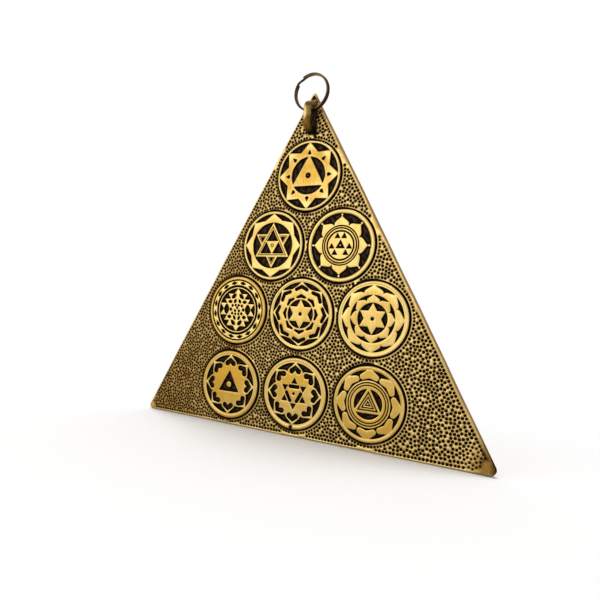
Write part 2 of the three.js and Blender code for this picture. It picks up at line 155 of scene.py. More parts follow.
# The floor leans with the base, which is cut a little askew, so that no light comes through under it
def makeFloor():
    middle = (plate["tipZ"] - plate["height"] - light["floorGap"]) * mm
    lean = 2 * plate["baseSkew"] / plate["base"]
    reach = light["floorReach"]
    ends = ((-reach, -reach), (reach, -reach), (reach, reach), (-reach, reach))
    mesh = bpy.data.meshes.new("floor")
    mesh.from_pydata([(x, y, middle - x * lean) for x, y in ends], [], [(0, 1, 2, 3)])
    floor = bpy.data.objects.new("floor", mesh)
    bpy.context.scene.collection.objects.link(floor)
    material = bpy.data.materials.new("pale_floor")
    tree = emptyTree(material)
    path = addNode(tree, "LightPath").outputs
    seen = mathNode(tree, "MAXIMUM", path["Is Camera Ray"], path["Is Glossy Ray"])
    tone = addNode(tree, "MapRange", {
        "Value": seen, "To Min": light["floorTone"], "To Max": light["floorSeenTone"],
    })
    browningAndShading = addNode(tree, "BsdfDiffuse", {"Color": tone.outputs["Result"]})
    position = addNode(tree, "NewGeometry").outputs["Position"]
    stretched = addNode(tree, "VectorMath", {0: position, 1: light["fadeStretch"]}, operation="MULTIPLY")
    away = addNode(tree, "VectorMath", {0: stretched.outputs[0]}, operation="LENGTH")
    fade = addNode(tree, "MapRange", {
        "Value": away.outputs["Value"], "From Min": light["fadeFrom"], "From Max": light["fadeTo"],
    }, interpolation_type="SMOOTHSTEP")
    white = addNode(tree, "Emission")
    blend = addNode(tree, "MixShader", {0: fade.outputs["Result"], 1: browningAndShading.outputs[0], 2: white.outputs[0]})
    addNode(tree, "OutputMaterial", {"Surface": blend.outputs[0]})
    mesh.materials.append(material)


makeCamera()
makeLamp("key_light", light["keyPlace"], light["keySize"], light["keyPower"])
makeLamp("top_light", light["topPlace"], light["topSize"], light["topPower"])
makeLamp("side_light", light["sidePlace"], light["sideSize"], light["sidePower"])
makeWorld()
makeFloor()
bpy.context.scene.view_settings.view_transform = "Standard"
print("stage: camera, lamps, world and floor are made")


# Finishes

def makeGroup(name, inputs, outputs):
    group = bpy.data.node_groups.new(name, "ShaderNodeTree")
    for socket, kind, value in inputs:
        made = group.interface.new_socket(socket, in_out="INPUT", socket_type=kind)
        made.default_value = value
    for socket, kind in outputs:
        group.interface.new_socket(socket, in_out="OUTPUT", socket_type=kind)
    return group


def addNoise(tree, coordinates, scale, detail, roughness=0.55):
    return addNode(tree, "TexNoise", {
        "Vector": coordinates, "Scale": scale, "Detail": detail, "Roughness": roughness,
    }).outputs["Fac"]


def remap(tree, value, low, high, toLow=0.0, toHigh=1.0):
    return addNode(tree, "MapRange", {
        "Value": value, "From Min": low, "From Max": high, "To Min": toLow, "To Max": toHigh,
    }, interpolation_type="SMOOTHSTEP").outputs["Result"]


def mixColour(tree, share, first, second):
    return addNode(tree, "Mix", {"Factor": share, 6: first, 7: second}, data_type="RGBA").outputs[2]


# Old brass: polished where hands and cloths reach, browned in patches, near black where the patina lies. Where the
# patina input runs above one, the patina turns to a lighter colour: a painted glint on the cell floors.
def makeAgedBrassGroup():
    colour, value, vector = "NodeSocketColor", "NodeSocketFloat", "NodeSocketVector"
    tree = makeGroup(
        "aged_brass",
        [
            ("Patina And Shading", value, 0.0), ("Browning And Shading", value, 0.5), ("Mottle", value, 0.3), ("Grain Size", value, 1.0),
            ("Gloss", value, 0.0), ("Glint", colour, (0.05, 0.034, 0.024, 1)),
            ("Polished", colour, (0.8, 0.6, 0.25, 1)), ("Browned", colour, (0.4, 0.25, 0.08, 1)),
            ("Patina", colour, (0.012, 0.008, 0.006, 1)), ("Position", vector, (0, 0, 0)),
        ],
        [("Color", colour), ("Roughness", value), ("Metallic", value), ("Height", value)],
    )
    into = tree.nodes.new("NodeGroupInput").outputs
    out = tree.nodes.new("NodeGroupOutput").inputs

    def plus(first, second):
        return mathNode(tree, "ADD", first, second)

    def times(first, second):
        return mathNode(tree, "MULTIPLY", first, second)

    scaled = addNode(tree, "VectorMath", {0: into["Position"], "Scale": into["Grain Size"]}, operation="SCALE")
    position = scaled.outputs[0]
    cloud = remap(tree, addNoise(tree, position, 110, 4), 0.36, 0.66, -0.5, 0.5)
    speck = remap(tree, addNoise(tree, position, 520, 3), 0.52, 0.74)
    stretch = addNode(tree, "Mapping", {"Vector": position, "Rotation": (0, 0.6, 0), "Scale": (1, 1, 0.08)})
    rub = addNoise(tree, stretch.outputs[0], 3200, 2)
    crumb = addNoise(tree, position, 1500, 4, 0.6)

    # the browning input carries painted shade and painted highlight as well as browning
    browning = plus(times(cloud, into["Mottle"]), times(speck, 0.1))
    browning = remap(tree, plus(browning, into["Browning And Shading"]), 0.0, 1.0)
    metal = mixColour(tree, browning, into["Polished"], into["Browned"])
    patinaEdge = plus(into["Patina And Shading"], times(mathNode(tree, "SUBTRACT", crumb, 0.5), 0.35))
    covered = remap(tree, patinaEdge, 0.25, 0.7)
    # painted glint: patina values above one turn the near black to the lighter glint colour, a painted highlight
    glintShare = remap(tree, plus(into["Patina And Shading"], times(speck, 0.15)), 1.1, 1.65)
    patina = mixColour(tree, glintShare, into["Patina"], into["Glint"])
    rough = plus(remap(tree, rub, 0.3, 0.7, 0.27, 0.4), times(browning, 0.1))
    rough = plus(rough, times(covered, 0.12))

    tree.links.new(mixColour(tree, covered, metal, patina), out["Color"])
    tree.links.new(mathNode(tree, "SUBTRACT", rough, into["Gloss"]), out["Roughness"])
    tree.links.new(remap(tree, covered, 0.0, 1.0, 1.0, 0.0), out["Metallic"])
    tree.links.new(plus(times(rub, 0.25), times(crumb, covered)), out["Height"])
    return tree


agedBrass = makeAgedBrassGroup()
bumpDepth = 0.00006  # metres

# The browned colours also show painted shade, and the polished ones painted highlight, where the browning attribute
# carries it: on the left of the plate and the medallions, on the loop and round the ring's wire
finishes = {
    "plate_brass": {
        "polished": (0.63, 0.44, 0.155), "browned": (0.25, 0.135, 0.03), "patina": (0.013, 0.0062, 0.002),
        "browning": 0.12, "mottle": 0.16, "grain": 1.0, "bump": 0.25, "gloss": 0.0,
    },
    "medallion_brass": {
        "polished": (0.63, 0.455, 0.155), "browned": (0.47, 0.26, 0.032), "patina": (0.012, 0.0068, 0.0026),
        "browning": 0.06, "mottle": 0.2, "grain": 1.0, "bump": 0.2, "gloss": 0.03,
    },
    "loop_brass": {
        "polished": (0.66, 0.50, 0.20), "browned": (0.13, 0.065, 0.010), "patina": (0.010, 0.006, 0.003),
        "browning": 0.0, "mottle": 0.2, "grain": 1.6, "bump": 0.2, "gloss": 0.08,
    },
    "ring_bronze": {
        "polished": (0.24, 0.14, 0.07), "browned": (0.020, 0.009, 0.0035), "patina": (0.008, 0.005, 0.003),
        "browning": 0.66, "mottle": 0.2, "grain": 1.2, "bump": 0.06, "gloss": 0.12,
    },
}


def makeFinish(name):
    look = finishes[name]
    material = bpy.data.materials.new(name)
    tree = emptyTree(material)
    # the patina attribute also carries painted shade and a painted glint, and the browning one painted shade and
    # painted highlight
    patinaAndShading = addNode(tree, "Attribute", attribute_name="patinaAndShading")
    browningAndShading = addNode(tree, "Attribute", attribute_name="browningAndShading")
    browning = mathNode(tree, "ADD", browningAndShading.outputs["Fac"], look["browning"])
    brass = addNode(tree, "Group", node_tree=agedBrass)
    brass.inputs["Grain Size"].default_value = look["grain"]
    brass.inputs["Mottle"].default_value = look["mottle"]
    brass.inputs["Gloss"].default_value = look["gloss"]
    for key in ("Polished", "Browned", "Patina"):
        brass.inputs[key].default_value = (*look[key.lower()], 1)
    tree.links.new(patinaAndShading.outputs["Fac"], brass.inputs["Patina And Shading"])
    tree.links.new(browning, brass.inputs["Browning And Shading"])
    tree.links.new(addNode(tree, "TexCoord").outputs["Object"], brass.inputs["Position"])
    bump = addNode(tree, "Bump", {
        "Strength": look["bump"], "Distance": bumpDepth, "Height": brass.outputs["Height"],
    })
    shader = addNode(tree, "BsdfPrincipled", {
        "Specular IOR Level": 0.0,
        "Base Color": brass.outputs["Color"], "Roughness": brass.outputs["Roughness"],
        "Metallic": brass.outputs["Metallic"], "Normal": bump.outputs["Normal"],
    })
    addNode(tree, "OutputMaterial", {"Surface": shader.outputs[0]})
    return material


materials = {name: makeFinish(name) for name in finishes}
print("stage: finishes are made")


# Meshes

def makePiece(name, node, body, points, quads, triangles, patinaAndShading, browningAndShading, finish):
    corners = np.concatenate([quads.ravel(), triangles.ravel()]).astype(np.int32)
    starts = np.concatenate([np.arange(len(quads)) * 4, len(quads) * 4 + np.arange(len(triangles)) * 3])
    mesh = bpy.data.meshes.new(name)
    mesh.vertices.add(len(points))
    mesh.vertices.foreach_set("co", (np.asarray(points, dtype=np.float32) * mm).ravel())
    mesh.loops.add(len(corners))
    mesh.loops.foreach_set("vertex_index", corners)
    mesh.polygons.add(len(starts))
    mesh.polygons.foreach_set("loop_start", starts.astype(np.int32))
    mesh.polygons.foreach_set("use_smooth", np.ones(len(starts), dtype=bool))
    mesh.update(calc_edges=True)
    mesh.validate()
    # these two attributes carry patina and browning together with painted shade and painted highlight
    for key, values in (("patinaAndShading", patinaAndShading), ("browningAndShading", browningAndShading)):
        layer = mesh.attributes.new(key, "FLOAT", "POINT")
        layer.data.foreach_set("value", np.asarray(values, np.float32))
    mesh.materials.append(materials[finish])
    piece = bpy.data.objects.new(name, mesh)
    bpy.context.scene.collection.objects.link(piece)
    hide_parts(node)
    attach(piece, body)


def smoothStep(low, high, value):
    share = np.clip((value - low) / (high - low), 0, 1)
    return share * share * (3 - 2 * share)


# Grows from the first number to the second, where it is as much as the third
def growth(stage, value):
    return smoothStep(stage[0], stage[1], value) * stage[2]


# The points of a circle with its middle at the origin, anticlockwise from the right
def circlePoints(count, radius=1.0, turn=0.0):
    angles = np.arange(count) * 2 * math.pi / count + turn
    return np.stack([np.cos(angles), np.sin(angles)], axis=1) * radius


# Four-sided faces between two rings of points, and three-sided ones from a ring to one point
def between(first, second):
    return np.stack([first, np.roll(first, -1), np.roll(second, -1), second], axis=1)


def fan(ring, hub):
    return np.stack([ring, np.roll(ring, -1), np.full(len(ring), hub)], axis=1)


# A gentle unevenness that is the same on every run: a sum of waves in fixed directions
def unevenness(u, v, wavelength, seed):
    waves = random.Random(seed)
    total = np.zeros_like(u)
    for _ in range(6):
        angle = waves.uniform(0, 2 * math.pi)
        length = wavelength * waves.uniform(0.6, 1.6)
        phase = waves.uniform(0, 2 * math.pi)
        total += np.sin((u * math.cos(angle) + v * math.sin(angle)) * 2 * math.pi / length + phase)
    return total / 6


# Browning and painted shade over the whole front, each as where it starts, where it is full and how much it is there.
# The darkening towards the left is painted shade, so that the lit side stays brighter.
browned = {
    "left": (35, -85, 0.62), "low": (-90, -185, 0.03),
    "corner": (97, -179), "nearCorner": (15, 4, 0.95),
    "patches": 0.1, "patchSize": 34,
}


def frontBrowningAndShade(x, z):
    fromCorner = np.hypot(x - browned["corner"][0], z - browned["corner"][1])
    broad = growth(browned["left"], x) + growth(browned["low"], z) + growth(browned["nearCorner"], fromCorner)
    return broad + browned["patches"] * unevenness(x, z, browned["patchSize"], 3)


# Shapes on a medallion's face as distances in millimetres, positive inside; angles run clockwise from the top

def polar(radius, degrees):
    angle = math.radians(degrees)
    return np.array([radius * math.sin(angle), radius * math.cos(angle)])


def sector(p, count, turn=0.0):
    step = 2 * math.pi / count
    angle = np.arctan2(p[0], p[1]) - math.radians(turn)
    angle = np.abs(angle - step * np.round(angle / step))
    radius = np.hypot(p[0], p[1])
    return radius * np.sin(angle), radius * np.cos(angle)


def disc(p, radius, centre=(0, 0)):
    return radius - np.hypot(p[0] - centre[0], p[1] - centre[1])


def band(p, radius, width):
    return width / 2 - np.abs(np.hypot(p[0], p[1]) - radius)


def triangle(p, radius, centre=(0, 0), turn=0.0):
    q = sector((p[0] - centre[0], p[1] - centre[1]), 3, turn + 60)
    return radius / 2 - q[1]


def triangleLine(p, radius, width, turn=0.0):
    return np.minimum(triangle(p, radius, turn=turn), -triangle(p, radius - 2 * width, turn=turn))


def without(shape, *others):
    for other in others:
        shape = np.minimum(shape, -other)
    return shape


def together(*shapes):
    whole = shapes[0]
    for shape in shapes[1:]:
        whole = np.maximum(whole, shape)
    return whole


def lineDistance(q, line):
    nearest = np.full(q[0].shape, 1e3)
    for start, end in zip(line[:-1], line[1:]):
        along = end - start
        du, dv = q[0] - start[0], q[1] - start[1]
        share = np.clip((du * along[0] + dv * along[1]) / along.dot(along), 0, 1)
        nearest = np.minimum(nearest, np.hypot(du - share * along[0], dv - share * along[1]))
    return nearest


def insideOutline(q, outline):
    inside = np.zeros(q[0].shape, dtype=bool)
    for start, end in zip(outline, np.roll(outline, -1, axis=0)):
        if start[1] == end[1]:
            continue
        crosses = (start[1] > q[1]) != (end[1] > q[1])
        inside ^= crosses & (q[0] < (end[0] - start[0]) * (q[1] - start[1]) / (end[1] - start[1]) + start[0])
    return inside


# Half of a shape that is mirrored about the line up the middle of its sector
def mirrored(q, line):
    beyond = np.array([[-1.0, line[-1][1]], [-1.0, line[0][1]]])
    distance = lineDistance(q, line)
    return np.where(insideOutline(q, np.concatenate([line, beyond])), distance, -distance)


def bezier(corners, steps):
    t = np.linspace(0, 1, steps + 1)[:, None]
    a, b, c, d = corners
    return (1 - t) ** 3 * a + 3 * t * (1 - t) ** 2 * b + 3 * t**2 * (1 - t) * c + t**3 * d


def petalRing(p, shape, count=8):
    q = sector(p, count)
    corners = [
        polar(shape["valley"], 180 / count),
        polar(*shape["shoulder"]),
        polar(*shape["neck"]),
        polar(shape["tip"], 0),
    ]
    line = bezier(corners, 14)
    angles = np.arctan2(line[::-1, 0], line[::-1, 1])
    reach = np.interp(np.arctan2(q[0], q[1]), angles, np.hypot(line[::-1, 0], line[::-1, 1]))
    distance = lineDistance(q, line)
    return np.where(np.hypot(q[0], q[1]) < reach, distance, -distance)


def petalCells(p, shape):
    return without(disc(p, shape["within"]), petalRing(p, shape))


def star(p, count, tip, notch):
    q = sector(p, count)
    tipPoint, notchPoint = polar(tip, 0), polar(notch, 180 / count)
    side = notchPoint - tipPoint
    normal = np.array([-side[1], side[0]]) / math.hypot(*side)
    return -((q[0] - tipPoint[0]) * normal[0] + (q[1] - tipPoint[1]) * normal[1])


def starCells(p, count, shape):
    return without(disc(p, shape["within"]), star(p, count, shape["tip"], shape["notch"]))


def diamond(p, count, shape, turn=0.0):
    line = np.array([polar(shape["outer"], 0), polar(shape["widest"], shape["spread"]), polar(shape["inner"], 0)])
    return mirrored(sector(p, count, turn), line)


def tangentAngle(point, centre, radius, side):
    toPoint = point - centre
    return math.atan2(toPoint[1], toPoint[0]) + side * math.acos(radius / math.hypot(*toPoint))


def heart(p, shape):
    centre = polar(shape["lobe"], shape["lobeAngle"])
    radius = shape["lobeRadius"]
    tip, notch = polar(shape["tip"], 0), polar(shape["notch"], 0)
    start = tangentAngle(tip, centre, radius, -1)
    sweep = (start - tangentAngle(notch, centre, radius, 1)) % (2 * math.pi)
    angles = start - sweep * np.linspace(0, 1, 12)
    lobe = centre + radius * np.stack([np.cos(angles), np.sin(angles)], axis=1)
    return mirrored(sector(p, 8), np.concatenate([[tip], lobe, [notch]]))


def inArms(p, size, at, turn=0.0):
    q = sector(p, 3, turn)
    return triangle((q[0], q[1] - at), size)


medallion = {
    "radius": 17.7, "backY": 3.1, "footHeight": 0.62, "rimHeight": 2.0, "faceHeight": 1.85,
    "cellDepth": 0.8, "grooveDepth": 0.35,
    "crest": 0.1, "foot": 0.17,        # how far a cell's wall spreads either side of its outline
    "pillow": 0.1, "pillowReach": 0.35,
    "dome": 0.12,
    "ringStep": 0.16, "segments": 640,
    "wobble": 0.05,
}

# Motifs: each gives the deep cells and the shallow lines that are sunk in its medallion. Pairs of numbers are the
# radius and width of a line or ring, the radius and angle of a shoulder or neck, and the size of a ball or of a
# triangle in a star's arm with how far out it is.

sun = {
    "star": {"within": 16.2, "tip": 17.1, "notch": 12.6},
    "drop": {"outer": 12.7, "inner": 10.5, "widest": 11.0, "spread": 4.6},
    "middle": 9.3, "triangle": 10.7, "bindu": (0.82, 1.0),
}


def sunMotif(p):
    cells = together(
        starCells(p, 8, sun["star"]),
        diamond(p, 8, sun["drop"]),
        without(disc(p, sun["middle"]), triangle(p, sun["triangle"])),
    )
    return cells, band(p, *sun["bindu"])


doubleTriangle = {
    "petal": {"within": 16.1, "tip": 16.7, "valley": 13.7, "shoulder": (14.5, 15), "neck": (15.2, 5)},
    "ground": 11.6, "frame": 11.9, "line": (9.9, 0.36),
    "upright": (3.75, 4.25), "inverted": (1.5, 6.9), "bindu": (0.7, 0.35),
}


def doubleTriangleMotif(p):
    up = triangle(p, doubleTriangle["frame"])
    down = triangle(p, doubleTriangle["frame"], turn=180)
    cells = together(
        petalCells(p, doubleTriangle["petal"]),
        without(disc(p, doubleTriangle["ground"]), up, down),
        inArms(p, *doubleTriangle["upright"]),
        inArms(p, *doubleTriangle["inverted"], turn=60),
    )
    lines = together(
        triangleLine(p, *doubleTriangle["line"]),
        without(triangleLine(p, *doubleTriangle["line"], turn=180), up),
        band(p, *doubleTriangle["bindu"]),
    )
    return cells, lines


lotus = {
    "petal": {"within": 15.6, "tip": 14.7, "valley": 10.4, "shoulder": (12.9, 20), "neck": (12.6, 4)},
    "ball": (0.65, 14.85), "rings": [(9.5, 0.42), (8.45, 0.48), (7.0, 0.65)],
    "seed": {"size": 1.55, "at": 4.7, "spread": 22}, "middle": 2.6, "bindu": 0.5,
}


def lotusMotif(p):
    radius, at = lotus["ball"]
    balls = disc(sector(p, 8), radius, (0, at))
    seed = lotus["seed"]
    cells = together(
        without(petalCells(p, lotus["petal"]), balls),
        triangle(sector(p, 3), seed["size"], polar(seed["at"], seed["spread"])),
        without(triangle(p, lotus["middle"]), disc(p, lotus["bindu"])),
    )
    return cells, together(*(band(p, *ring) for ring in lotus["rings"]))


# The nine interlocking triangles: level of the flat side, parts cut off its ends, level of the point.
# The gaps that stay open between them, right half: place, half length, half width, lean from the upright
interlocked = {
    "ground": 11.1, "partsAcross": 48, "grow": 0.35,
    "triangles": [(6, 3, 27), (12, 4, 42), (17, 0, 48), (20, 16, 36), (23, 18, 30),
                  (27, 16, 12), (30, 0, 0), (36, 4, 6), (42, 3, 17)],
    "gaps": [(2.4, 7.1, 1.5, 0.85, -50), (1.45, 4.5, 0.9, 0.6, -35), (4.6, 4.2, 1.0, 0.7, 90),
             (2.95, 2.15, 0.6, 0.55, 0), (1.0, 2.4, 0.5, 0.5, 0), (6.75, 0.15, 2.4, 1.5, 0),
             (3.95, 0.1, 0.7, 0.65, 0), (1.25, -0.5, 0.6, 0.55, 0), (0.0, 1.1, 0.6, 0.45, 0),
             (2.95, -1.95, 0.6, 0.55, 0), (1.0, -2.2, 0.5, 0.5, 0), (4.7, -3.8, 1.0, 0.75, 90),
             (1.45, -4.2, 1.0, 0.55, 30), (2.1, -6.8, 1.45, 0.85, 45)],
    "innerRing": (12.45, 0.7), "outerRing": (15.75, 0.5),
    "lozenge": {"outer": 14.95, "inner": 13.55, "widest": 14.25, "spread": 6.2}, "lozenges": 16,
}


def gapShape(p, gap):
    u, v, length, width, lean = gap
    along = polar(1.0, lean)
    du, dv = np.abs(p[0]) - u, p[1] - v
    s = np.abs(du * along[0] + dv * along[1]) / length
    t = np.abs(du * along[1] - dv * along[0]) / width
    return 0.65 * width * (1 - s**1.5 - t**1.5)


def interlockedMotif(p):
    ground = interlocked["ground"]
    part = 2 * ground / interlocked["partsAcross"]
    raised = []
    for level, cutBack, point in interlocked["triangles"]:
        v = ground - level * part
        half = math.sqrt(ground**2 - v**2) - cutBack * part
        tip = ground - point * part
        corners = np.array([[half, v], [0.0, tip], [-half, v]])
        distance = lineDistance(p, np.concatenate([corners, corners[:1]]))
        raised.append(np.where(insideOutline(p, corners), distance, -distance) + interlocked["grow"])
    count = interlocked["lozenges"]
    cells = together(
        without(disc(p, ground), *raised),
        *(gapShape(p, gap) for gap in interlocked["gaps"]),
        band(p, *interlocked["innerRing"]),
        diamond(p, count, interlocked["lozenge"], 180 / count),
    )
    return cells, band(p, *interlocked["outerRing"])


beans = {
    "petal": {"within": 15.7, "tip": 16.3, "valley": 13.35, "shoulder": (13.8, 15.3), "neck": (14.85, 5)},
    "bean": {"tip": 14.5, "lobe": 12.5, "lobeAngle": 13.9, "lobeRadius": 0.78, "notch": 12.7},
    "chevron": {"tip": 9.85, "lobe": 8.5, "lobeAngle": 15.2, "lobeRadius": 0.42, "notch": 8.2},
    "star": {"within": 7.05, "tip": 7.5, "notch": 4.3}, "bindu": 0.85,
}


def beanMotif(p):
    cells = together(
        petalCells(p, beans["petal"]),
        heart(p, beans["bean"]),
        heart(p, beans["chevron"]),
        starCells(p, 6, beans["star"]),
        disc(p, beans["bindu"]),
    )
    return cells, None


twinLotus = {
    "outer": {"within": 15.3, "tip": 16.0, "valley": 12.9, "shoulder": (14.4, 21.5), "neck": (14.6, 9)},
    "inner": {"within": 11.0, "tip": 11.6, "valley": 8.9, "shoulder": (10.1, 21.5), "neck": (10.3, 9)},
    "star": {"within": 7.3, "tip": 7.7, "notch": 4.5}, "bindu": 0.7,
}


def twinLotusMotif(p):
    cells = together(
        petalCells(p, twinLotus["outer"]),
        petalCells(p, twinLotus["inner"]),
        starCells(p, 6, twinLotus["star"]),
        disc(p, twinLotus["bindu"]),
    )
    return cells, None


ogee = {"tip": 15.9, "valley": 11.2, "shoulder": (13.1, 20), "neck": (13.4, 5)}
ogeeHeart = {"tip": 14.0, "lobe": 11.15, "lobeAngle": 10.0, "lobeRadius": 1.42}
risingTriangle = {"within": 15.3, "heartNotch": 10.9, "triangle": 7.5, "bindu": 1.4}


def risingTriangleMotif(p):
    cells = together(
        petalCells(p, {**ogee, "within": risingTriangle["within"]}),
        heart(p, {**ogeeHeart, "notch": risingTriangle["heartNotch"]}),
        without(triangle(p, risingTriangle["triangle"]), disc(p, risingTriangle["bindu"])),
    )
    return cells, None


bars = {
    "within": 15.2, "heartNotch": 11.2, "arm": (2.15, 5.9),
    "barAt": 3.4, "barHalf": 2.2, "barWidth": 1.95, "bindu": 0.8,
}


def barsMotif(p):
    at, half = bars["barAt"], bars["barHalf"]
    bar = bars["barWidth"] / 2 - lineDistance(sector(p, 3), np.array([[-half, at], [half, at]]))
    cells = together(
        petalCells(p, {**ogee, "within": bars["within"]}),
        heart(p, {**ogeeHeart, "notch": bars["heartNotch"]}),
        inArms(p, *bars["arm"]),
        inArms(p, *bars["arm"], turn=60),
        bar,
        disc(p, bars["bindu"]),
    )
    return cells, None


nested = {
    "within": 15.75, "edge": 10.85,
    "heart": {"tip": 16.9, "lobe": 12.85, "lobeAngle": 15.3, "lobeRadius": 1.38, "notch": 12.0},
    "rings": [(9.9, 0.45), (8.7, 0.45)],
    "ground": 7.05, "frame": 8.2, "lines": [(6.0, 0.5), (3.75, 0.45)], "middle": 1.8, "bindu": 0.45,
}


def nestedTrianglesMotif(p):
    cells = together(
        without(disc(p, nested["within"]), disc(p, nested["edge"]), heart(p, nested["heart"])),
        without(disc(p, nested["ground"]), triangle(p, nested["frame"])),
        without(triangle(p, nested["middle"]), disc(p, nested["bindu"])),
    )
    lines = together(
        *(band(p, *ring) for ring in nested["rings"]),
        *(triangleLine(p, *line) for line in nested["lines"]),
    )
    return cells, lines


# What differs from one medallion to the next, over what they share: rim width, crown of the middle and its radius, how
# far the dark cells stand back from their outlines, how browned the middle is at its upper left and at its lower right,
# the difference being painted shade that mostly darkens the upper left, and how far out, how browned the rim is, how
# dark the fine lines are, and a casting flaw as place and radius
sharedLook = {
    "rim": 1.5, "bulge": 0.0, "bulgeRadius": 9.0, "thin": 0.0,
    "ochreAndShadeReach": 13.5, "rimBrown": 0.0, "lineDark": 0.95, "flaw": None,
}

medallionLooks = {
    "top": {"motif": sunMotif, "ochreAndShade": (0.66, 0.5), "thin": -0.05},
    "upper_left": {"motif": doubleTriangleMotif, "ochreAndShade": (0.38, 0.3), "lineDark": 0.5},
    "upper_right": {"motif": lotusMotif, "rim": 1.7, "bulge": 0.1, "bulgeRadius": 10.0, "ochreAndShade": (0.32, 0.26)},
    "middle_left": {"motif": interlockedMotif, "rim": 1.9, "ochreAndShade": (0.0, 0.0), "rimBrown": 0.4, "thin": -0.13},
    "middle_centre": {"motif": beanMotif, "ochreAndShade": (0.36, 0.44)},
    "middle_right": {"motif": twinLotusMotif, "ochreAndShade": (0.42, 0.3), "thin": -0.05},
    "lower_left": {"motif": risingTriangleMotif, "rim": 1.9, "bulge": 0.28, "bulgeRadius": 11.0,
                   "ochreAndShade": (1.0, 0.5), "rimBrown": 0.35, "thin": 0.15},
    "lower_centre": {"motif": barsMotif, "rim": 1.8, "bulge": 0.2, "bulgeRadius": 11.5,
                     "ochreAndShade": (0.8, 0.35), "rimBrown": 0.2, "thin": 0.16, "flaw": (-0.7, -16.6, 1.6)},
    "lower_right": {"motif": nestedTrianglesMotif, "rim": 1.7,
                    "ochreAndShade": (0.6, 0.65), "ochreAndShadeReach": 16.0, "rimBrown": 0.25, "thin": 0.12},
}

# Where the patina lies on a medallion, in millimetres from the outlines of its cells and lines. The thick entry is a
# painted glint on the wider cell floors, and the crest entries are a painted highlight along the crests next to the
# cells
medallionPatinaAndShading = {
    "cells": (-0.22, -0.04), "lines": (-0.19, -0.04), "grooveWall": (-0.1, 0.1),
    "thick": (0.45, 1.0, 0.7), "seam": (0.3, 0.08, 0.9),
    "crestHighlightAt": 0.1, "crestHighlightReach": 0.4, "crestHighlight": 0.75,
}


# Rings of vertices from the edge inwards; the count halves twice on the way to the middle
def discGrid():
    outer, step = medallion["radius"], medallion["ringStep"]
    radii = [outer - 0.5 * (1 - math.cos(math.pi / 2 * i / 5)) for i in range(6)]
    while radii[-1] - step > 0.5 * step:
        radii.append(radii[-1] - step)
    points, quads, triangles, previous = [], [], [], None
    for radius in radii:
        count = medallion["segments"]
        while count > 20 and 2 * math.pi * radius / count < 0.55 * step:
            count //= 2
        angles = np.arange(count) * 2 * math.pi / count
        start = sum(len(ring) for ring in points)
        points.append(np.stack([radius * np.sin(angles), radius * np.cos(angles)], axis=1))
        ring = start + np.arange(count)
        if previous is not None and len(previous) == count:
            quads.append(between(previous, ring))
        elif previous is not None:
            middle, even, following = previous[1::2], previous[0::2], np.roll(ring, -1)
            triangles.append(np.stack([even, middle, ring], axis=1))
            triangles.append(np.stack([middle, following, ring], axis=1))
            triangles.append(np.stack([middle, np.roll(even, -1), following], axis=1))
        previous = ring
    centre = sum(len(ring) for ring in points)
    points.append(np.zeros((1, 2)))
    triangles.append(fan(previous, centre))
    return np.concatenate(points), np.concatenate(quads), np.concatenate(triangles)


faceGrid, faceQuads, faceTriangles = discGrid()


# Vertices that lie near the top or the foot of a wall slide onto it, so that edges come out clean
def snapToWalls(u, v, motif, levels):
    reach = 0.45 * medallion["ringStep"]
    step = 0.01

    def field(uu, vv):
        cells, lines = motif((uu, vv))
        return cells if lines is None else np.maximum(cells, lines)

    here = field(u, v)
    du = (field(u + step, v) - here) / step
    dv = (field(u, v + step) - here) / step
    steepness = np.maximum(du**2 + dv**2, 1e-6)
    radius = np.hypot(u, v)
    inside = radius < medallion["radius"] - 1.0
    for level in levels:
        gap = level - here
        near = inside & (np.abs(gap) < reach) & (steepness > 0.5)
        u = np.where(near, u + gap * du / steepness, u)
        v = np.where(near, v + gap * dv / steepness, v)
    return u, v


def rimProfile(radius, rimWidth):
    outer = medallion["radius"]
    across = np.clip((radius - (outer - rimWidth / 2)) / (rimWidth / 2), -1, 1)
    bead = (1 - np.abs(across) ** 2.4) ** (1 / 2.4)
    foot = np.where(across > 0, medallion["footHeight"], medallion["faceHeight"] - 0.06)
    return foot + (medallion["rimHeight"] - foot) * bead


